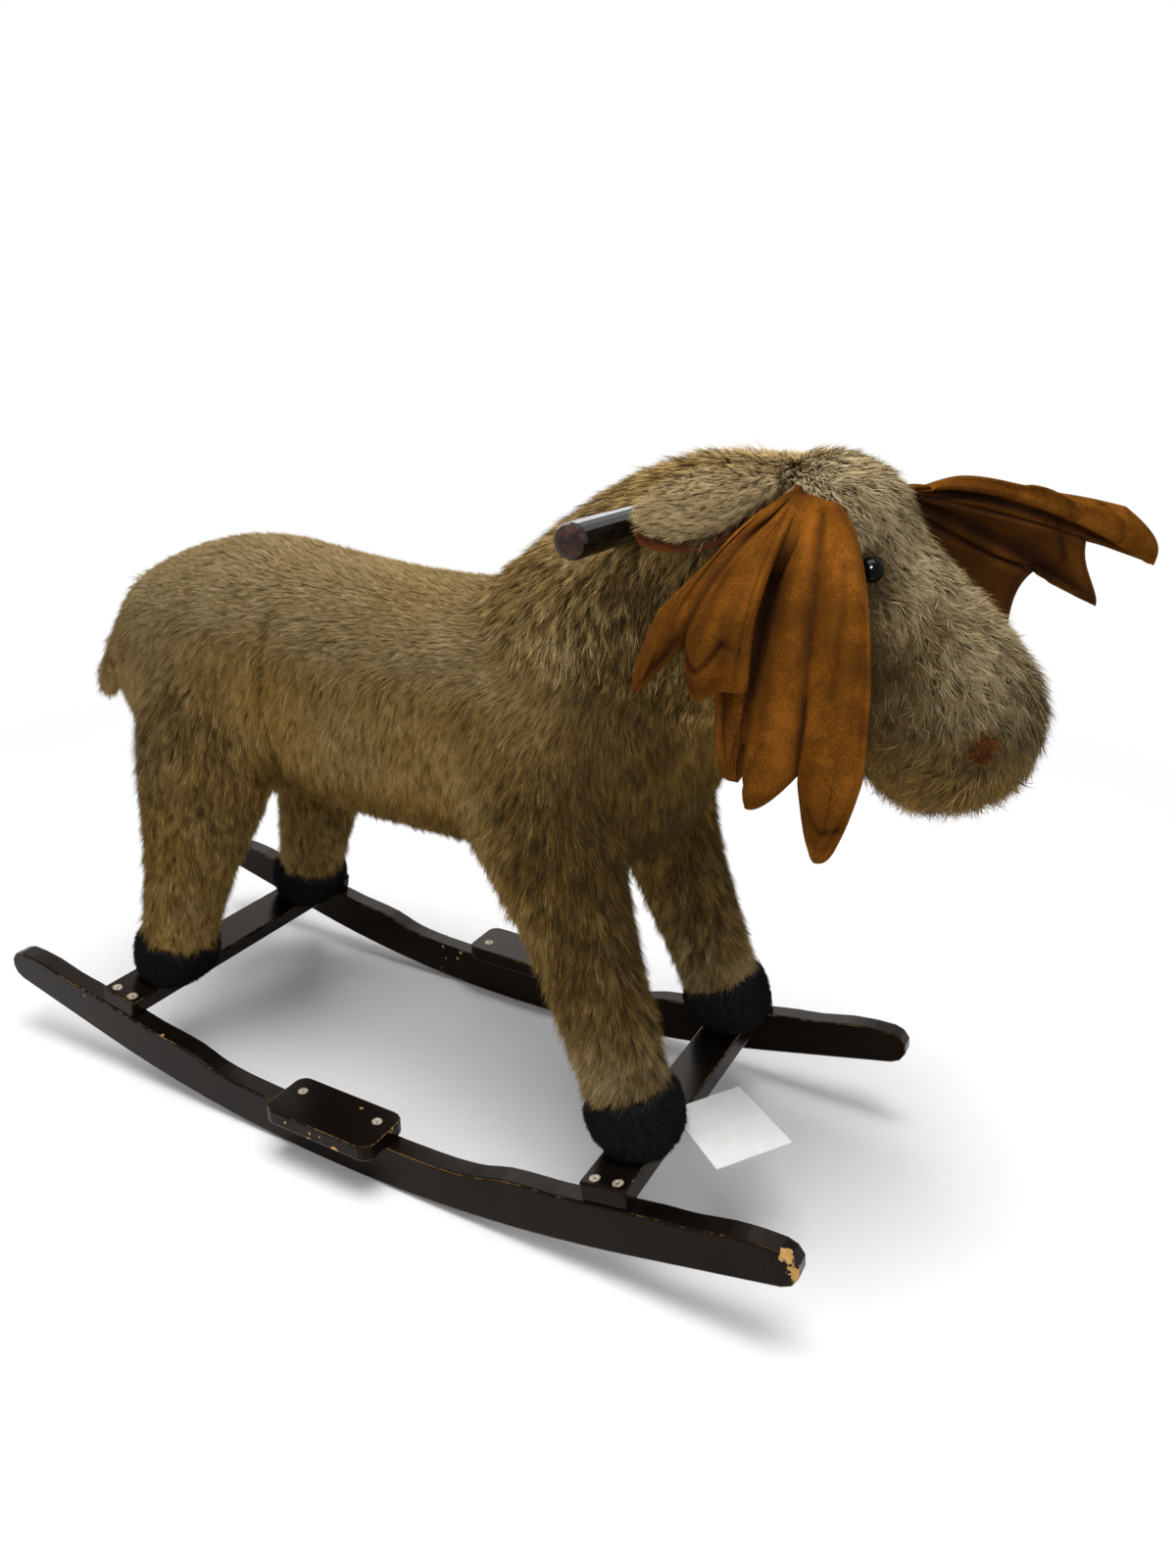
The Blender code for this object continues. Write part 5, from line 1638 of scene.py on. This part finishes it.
        # The free edge runs along the first rib, round the tips and back along the last rib.
        edge = self.distance(grid, np.concatenate([grid[0], grid[1:-1, -1], grid[-1, ::-1]]))
        columns = [round(self.across * rib / (len(keys) - 1)) for rib in self.notches]
        sewn = np.min([self.distance(grid, grid[c, 4:]) for c in columns], axis=0)
        depth = np.clip(edge / self.roll, 0, 1)
        half = self.half * np.sqrt(np.clip(1 - (1 - depth) ** 2, 0, 1))
        half *= 1 - 0.55 * np.exp(-(sewn / self.channel) ** 2)
        half *= 1 - 0.22 * np.exp(-((edge - self.hem) / (1.1 * MM)) ** 2)
        half[:, 0] = self.bead
        u = np.linspace(0, 1, self.across + 1)
        v = np.linspace(0, 1, self.along + 1)
        waves = np.array([[
            noise.noise(Vector((11 * a, 1.3 * b, self.seed)))
            + 0.25 * noise.noise(Vector((26 * a, 4 * b, self.seed)))
            for b in v] for a in u])
        calm = ease(v, 0.02, 0.25)[None, :] * ease(edge, 0.0, self.roll)
        shift = self.fold * waves * calm
        # Painted shade in the sewn channels, along the hem, at the root and in the hollows of the soft
        # folds.
        shade = 0.45 * np.exp(-(sewn / (1.6 * MM)) ** 2)
        shade += 0.22 * np.exp(-((edge - self.hem) / (1.0 * MM)) ** 2)
        shade += 0.25 * (1 - ease(v, 0.0, 0.10))[None, :] + 0.30 * np.clip(-waves, 0, 1) * calm
        ribs = np.linspace(0, len(keys) - 1, self.across + 1)[:, None]
        span = (ease(v, 0.02, 0.25) * (1 - 0.6 * ease(v, 0.75, 1.0)))[None, :]
        for fold in self.folds:
            shift = shift - fold.depth * MM * fold.at(ribs) * span
            shade = shade + fold.shade * fold.at(ribs) ** 2 * span
        for crease in self.creases:
            form = self.crease_form(grid, crease)
            shift = shift - crease.depth * MM * form
            shade = shade + crease.shade * form
        front = grid + normals * (shift + half)[..., None]
        back = grid + normals * (shift - half)[..., None]
        # More painted shade on the inner sheet, which looks at the head.
        inner = shade + self.gloom * ease(ribs, 1.1, 1.8) * ease(v, 0.0, 0.2)[None, :]
        self.cover((front, back), (np.clip(shade, 0, 0.85), np.clip(inner, 0, 0.9)), suede)
        stitches = f"antler_{self.side}_{self.lobe}_stitches"
        self.sew(stitches, front, normals, columns, thread)
        self.sew(stitches + "_inner", back, -normals, columns, thread)

    def crease_form(self, grid: np.ndarray, crease: Crease) -> np.ndarray:
        """Share of a crease's depth at each grid point.

        Args:
            grid: points of the middle sheet by column and row.
            crease: the crease.

        Returns:
            Shares by column and row.
        """
        scale = np.array([self.across / (len(self.ribs) - 1), self.along])
        ends = (np.array(crease.start) * scale, np.array(crease.end) * scale)
        line = np.array([grid[tuple(np.round(ends[0] * (1 - t) + ends[1] * t).astype(int))]
                         for t in np.linspace(0, 1, 9)])
        return np.exp(-(self.distance(grid, line) / (crease.width * MM * 0.7)) ** 2)

    def cover(self, sheets: tuple[np.ndarray, np.ndarray], shades: tuple[np.ndarray, np.ndarray],
              suede: Material) -> None:
        """Sew the two sheets into one closed cover.

        Args:
            sheets: points of the outer and the inner sheet by column and row.
            shades: fold shade of each.
            suede: the cover's material.
        """
        bm = bmesh.new()
        layer = bm.verts.layers.float.new("shade")
        for sheet, shade in zip(sheets, shades):
            made = bmesh.ops.create_grid(bm, x_segments=self.across, y_segments=self.along, size=1.0)
            for vert in made["verts"]:
                i = round((vert.co.x + 1) / 2 * self.across)
                j = round((vert.co.y + 1) / 2 * self.along)
                vert.co = sheet[i, j]
                vert[layer] = shade[i, j]
        bmesh.ops.remove_doubles(bm, verts=bm.verts[:], dist=0.02 * MM)
        bmesh.ops.holes_fill(bm, edges=[e for e in bm.edges if e.is_boundary], sides=0)
        bmesh.ops.triangulate(bm, faces=[f for f in bm.faces if len(f.verts) > 4])
        bmesh.ops.recalc_face_normals(bm, faces=bm.faces[:])
        node = f"antler_{self.side}"
        fit(make_object(f"{node}_{self.lobe}_cover", bm), suede, node, "suede", node, fill=0.45)

    def sew(self, name: str, sheet: np.ndarray, normals: np.ndarray, columns: list[int],
            thread: Material) -> None:
        """Lay short stitches in the channels of one sheet.

        Args:
            name: the stitches' name.
            sheet: the sheet's points.
            normals: its outward normals.
            columns: the columns that run along channels.
            thread: the thread's material.
        """
        bm = bmesh.new()
        for column in columns:
            line = sheet[column, self.first_row:-2]
            steps = np.linalg.norm(np.diff(line, axis=0), axis=1)
            reach = np.concatenate([[0], np.cumsum(steps)])
            for start in np.arange(self.pitch, reach[-1] - self.pitch, self.pitch):
                at, to = (np.array([np.interp(start + d, reach, line[:, k]) for k in range(3)])
                          for d in (-self.stitch / 2, self.stitch / 2))
                row = self.first_row + int(np.searchsorted(reach, start))
                up = Vector(normals[column, row])
                way = Vector(to - at).normalized()
                made = bmesh.ops.create_icosphere(bm, subdivisions=1, radius=1.0)
                bmesh.ops.scale(bm, verts=made["verts"], vec=(self.yarn, self.yarn, self.stitch / 2))
                turn = way.to_track_quat("Z", "Y").to_matrix().to_4x4()
                spot = (Vector(at) + Vector(to)) / 2 + up * self.proud
                bmesh.ops.transform(bm, matrix=Matrix.Translation(spot) @ turn, verts=made["verts"])
        fit(make_object(name, bm), thread, "antler_" + self.side, "suede")


# Ears, tail, hooves and face


@dataclass
class Trimmings:
    """What is sewn or pressed on the body: ears, linings, tail, hooves, eyes and nostrils."""

    ear_cut: Cut = field(default_factory=lambda: Cut(
        8.5 * MM, 24, 14, 0.2, 0.75, 0.75, 2_000_000, False, 3.4 * MM))
    tail_cut: Cut = field(default_factory=lambda: Cut(13.0 * MM, 30, 12, 0.30, 0.30, 0.62, 1_300_000))
    hoof_cut: Cut = field(default_factory=lambda: Cut(
        3.8 * MM, 50, 40, 0.2, 0.5, 0.5, 1_300_000, False, 3.0 * MM))
    felt_cut: Cut = field(default_factory=lambda: Cut(
        5.0 * MM, 62, 70, 0.5, 0.5, 0.5, 2_500_000, False, 2.2 * MM))
    hang: tuple[float, float, float] = (3.0 * MM, 4.0 * MM, -5.0 * MM)   # of the ears' lining
    joints: list[dict] = field(default_factory=list)

    def build(self, pile: Material, head_pile: Material, backing: Material) -> None:
        """Build all of them.

        Args:
            pile: the coat's pile.
            head_pile: the paler pile of the head and ears.
            backing: its backing.
        """
        self.hooves()
        self.ears(head_pile, backing)
        self.tail(pile, backing)
        self.face()

    def hooves(self) -> None:
        """Four hooves in short black velour."""
        black = ("#0A0A0B", "#151517")
        velour = Pile("black_velour_pile", "#030303", black, black).build()
        cloth = Backing("black_velour_backing", ("#060607", "#0F0F11")).build()
        for end in ("front", "rear"):
            for side in SIDES:
                SmallCoat(f"hoof_{end}_{side}", BODY, "hoof_plush", self.hoof_cut, Vector((-0.1, 0, -1)),
                          inset=1.6 * MM, width=0.7 * MM, fill=0.7).build(cloth, velour)

    def ears(self, pile: Material, backing: Material) -> None:
        """Both ears and the rust cloth under them."""
        rust = Woven("rust_polyester_cloth", ("#4A220A", "#6E3A14")).build()
        for side in SIDES:
            ear, lining = f"ear_{side}", f"ear_lining_{side}"
            pivot = next(Vector(j["pos_m"]) for j in self.joints if j["child"] == ear)
            way = (middle_of(ear) - pivot).normalized()
            down = (middle_of(lining) - middle_of(ear)).normalized()
            SmallCoat(ear, ear, "plush", self.ear_cut, way, voxel=2.0 * MM, inset=1.0 * MM,
                      bare=down, width=0.62 * MM).build(backing, pile)
            bm = packed_mesh(lining)
            # The lining's outer edge hangs out under the fur, so that a strip of it shows.
            bmesh.ops.translate(bm, verts=bm.verts[:], vec=(
                self.hang[0], self.hang[1] * SIDES[side], self.hang[2]))
            piece = make_object(f"{lining}_cloth", bm)
            add_modifier(piece, "SUBSURF", levels=1, render_levels=1)
            settle(piece)
            fit(piece, rust, ear, "lining", lining, fill=0.2)

    def tail(self, pile: Material, backing: Material) -> None:
        """The flat tail."""
        SmallCoat("tail", "tail", "plush", self.tail_cut, Vector((-0.4, 0, -1)), voxel=2.5 * MM,
                  inset=0.6 * MM, width=0.6 * MM).build(backing, pile)

    def face(self) -> None:
        """Eyes and nostril patches."""
        gloss = SafetyEye().build()
        rust = ("#804812", "#BC7634")
        felt = Pile("rust_felt_fuzz", "#3A1C06", rust, rust).build()
        ground = Backing("rust_felt", ("#2E1A08", "#5E3A12"), scale=400.0).build()
        for side in SIDES:
            node = f"eye_{side}"
            piece = make_object(node + "_dome", packed_mesh(node))
            add_modifier(piece, "SUBSURF", levels=2, render_levels=2)
            settle(piece)
            piece.data.shade_smooth()
            fit(piece, gloss, BODY, "eye", node)
            SmallCoat(f"nostril_patch_{side}", BODY, "felt", self.felt_cut, Vector((0.3, 0, -1)),
                      voxel=0.7 * MM, inset=0.2 * MM, width=0.5 * MM, fill=0.2).build(ground, felt)


# Studio


@dataclass
class Studio:
    """Pale floor, soft lamps and the camera at the photograph's angle."""

    camera_place: tuple[float, float, float] = (0.4737, -0.7029, 0.6453)
    azimuth: float = 28.35
    elevation: float = 22.13
    roll: float = 0.79
    lens: float = 25.58

    def build(self) -> None:
        """Make the floor, world, lamps and camera."""
        self.floor()
        self.world()
        self.lamps()
        self.camera()

    def floor(self) -> None:
        """Lay a pale floor under the rockers."""
        bm = bmesh.new()
        bmesh.ops.create_grid(bm, x_segments=1, y_segments=1, size=30.0)
        bmesh.ops.translate(bm, verts=bm.verts[:], vec=(0, 0, -0.2 * MM))
        piece = make_object("studio_floor", bm)
        made, tree, shader = new_material("pale_floor")
        place = add_node(tree, "TexCoord").outputs["Object"]
        clouds = add_node(tree, "TexNoise", {"Vector": place, "Scale": 2.0})
        colour = add_node(tree, "ValToRGB", {"Fac": clouds}, ((0.3, "#F3F3F3"), (0.7, "#F7F7F7")))
        plug(shader, {"Base Color": colour, "Roughness": 0.9})
        # Far off, the floor turns into the white surroundings, for the camera and in reflections.
        away = add_node(tree, "VectorMath", {0: place}, operation="LENGTH")
        far = add_node(tree, "MapRange", {
            "Value": away.outputs["Value"], "From Min": 0.55, "From Max": 1.5},
            interpolation_type="SMOOTHSTEP")
        rays = add_node(tree, "LightPath").outputs
        seen = add_node(tree, "Math", {
            0: rays["Is Camera Ray"], 1: rays["Is Glossy Ray"]}, operation="MAXIMUM")
        share = add_node(tree, "Math", {0: far, 1: seen}, operation="MULTIPLY")
        white = add_node(tree, "Emission", {"Color": linear("#FFFFFF"), "Strength": 1.0})
        mix = add_node(tree, "MixShader", {0: share, 1: shader, 2: white})
        plug(tree.nodes["Material Output"], {"Surface": mix})
        dress(piece, made)

    def world(self) -> None:
        """Make the surroundings: soft grey light, seen as white."""
        world = bpy.data.worlds.new("studio_world")
        bpy.context.scene.world = world
        world.use_nodes = True
        tree = world.node_tree
        tree.nodes.clear()
        rays = add_node(tree, "LightPath").outputs
        seen = add_node(tree, "Math", {
            0: rays["Is Camera Ray"], 1: rays["Is Glossy Ray"]}, operation="MAXIMUM")
        seen = add_node(tree, "Math", {0: seen, 1: rays["Is Transmission Ray"]}, operation="MAXIMUM")
        dim = add_node(tree, "Background", {"Color": linear("#F4F5F8"), "Strength": 0.32})
        white = add_node(tree, "Background", {"Color": linear("#FFFFFF"), "Strength": 1.0})
        add_node(tree, "OutputWorld", {"Surface": add_node(tree, "MixShader", {0: seen, 1: dim, 2: white})})

    def lamps(self) -> None:
        """Hang a wide key lamp above, a fill on each side and a small lamp for the glints."""
        for name, place, size, power in (
                ("key_lamp", (0.30, -0.30, 2.4), 1.5, 62.0),
                ("fill_lamp", (-1.0, -2.0, 1.4), 1.6, 9.0),
                ("back_lamp", (-1.2, 2.0, 1.9), 1.6, 14.0),
                ("glint_lamp", (1.1, -1.9, 1.9), 0.65, 240.0)):
            lamp = bpy.data.lights.new(name, "AREA")
            lamp.energy = power
            lamp.size = size
            made = link(name, lamp)
            made.location = place
            # The glint lamp is seen only as a highlight on glossy things, such as the eyes.
            made.visible_diffuse = name != "glint_lamp"
            made.rotation_mode = "QUATERNION"
            made.rotation_quaternion = (Vector((0, 0, 0.3)) - Vector(place)).to_track_quat("-Z", "Y")

    def camera(self) -> None:
        """Set the camera where the photograph was taken from."""
        az, el, roll = (math.radians(a) for a in (self.azimuth, self.elevation, self.roll))
        ahead = Vector((-math.sin(az) * math.cos(el), math.cos(az) * math.cos(el), -math.sin(el)))
        right = ahead.cross(Vector((0, 0, 1))).normalized()
        up = right.cross(ahead)
        right, up = (right * math.cos(roll) + up * math.sin(roll),
                     up * math.cos(roll) - right * math.sin(roll))
        lens = bpy.data.cameras.new("photo_camera")
        lens.lens = self.lens
        lens.sensor_width = 36.0
        lens.clip_start, lens.clip_end = 0.05, 100.0
        made = link("photo_camera", lens)
        turn = Matrix((right, up, -ahead)).transposed()
        made.matrix_world = Matrix.Translation(self.camera_place) @ turn.to_4x4()
        bpy.context.scene.camera = made


def main() -> None:
    """Build every piece in order."""
    logging.basicConfig(level=logging.INFO, format="%(name)s: %(message)s")
    bpy.context.scene.view_settings.view_transform = "Standard"
    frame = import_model()

    pile = Pile("matted_khaki_pile").build()
    backing = Backing("knitted_backing").build()
    RockingBase().build(Lacquer().build(), HandleLacquer().build(), ScrewBrass().build(), Softwood().build())
    eyes, nostrils = (tuple(middle_of(f"{kind}_{side}") for side in SIDES)
                      for kind in ("eye", "nostril_patch"))
    body = PlushBody(eye_spots=eyes, nostril_spots=nostrils)
    skin = body.skin(backing)
    head_pile = Pile("greyed_head_pile", root="#57482B").build()
    body.dress_in_fur(skin, pile, head_pile)
    Trimmings(joints=frame["joints"]).build(pile, head_pile, backing)
    head = search_tree("head")
    suede = Suede().build()
    thread = Woven("caramel_polyester_thread", ("#3A1C06", "#6A3C12"), thread=0.5 * MM, sheen=0.05).build()
    Antler("right", "front", DROOPING_FRONT, notches=(2,), across=120, along=76, folds=FRONT_FOLDS,
           creases=FRONT_CREASES, blunt=0.55).build(suede, thread, head)
    Antler("right", "rear", DROOPING_REAR, notches=(4,), across=120, along=60, folds=REAR_FOLDS,
           creases=REAR_CREASES, blunt=0.45, bulge=1.2, half=5.0 * MM, seed=5.2).build(suede, thread, head)
    Antler("left", "whole", STANDING, folds=STANDING_FOLDS, creases=STANDING_CREASES, gloom=0.55,
           hollow=1.3, bulge=1.9, blunt=0.35, seed=8.1).build(suede, thread, head)
    dress(bpy.data.objects["hang_tag"], Card().build())

    Studio().build()


if __name__ == "__main__":
    main()
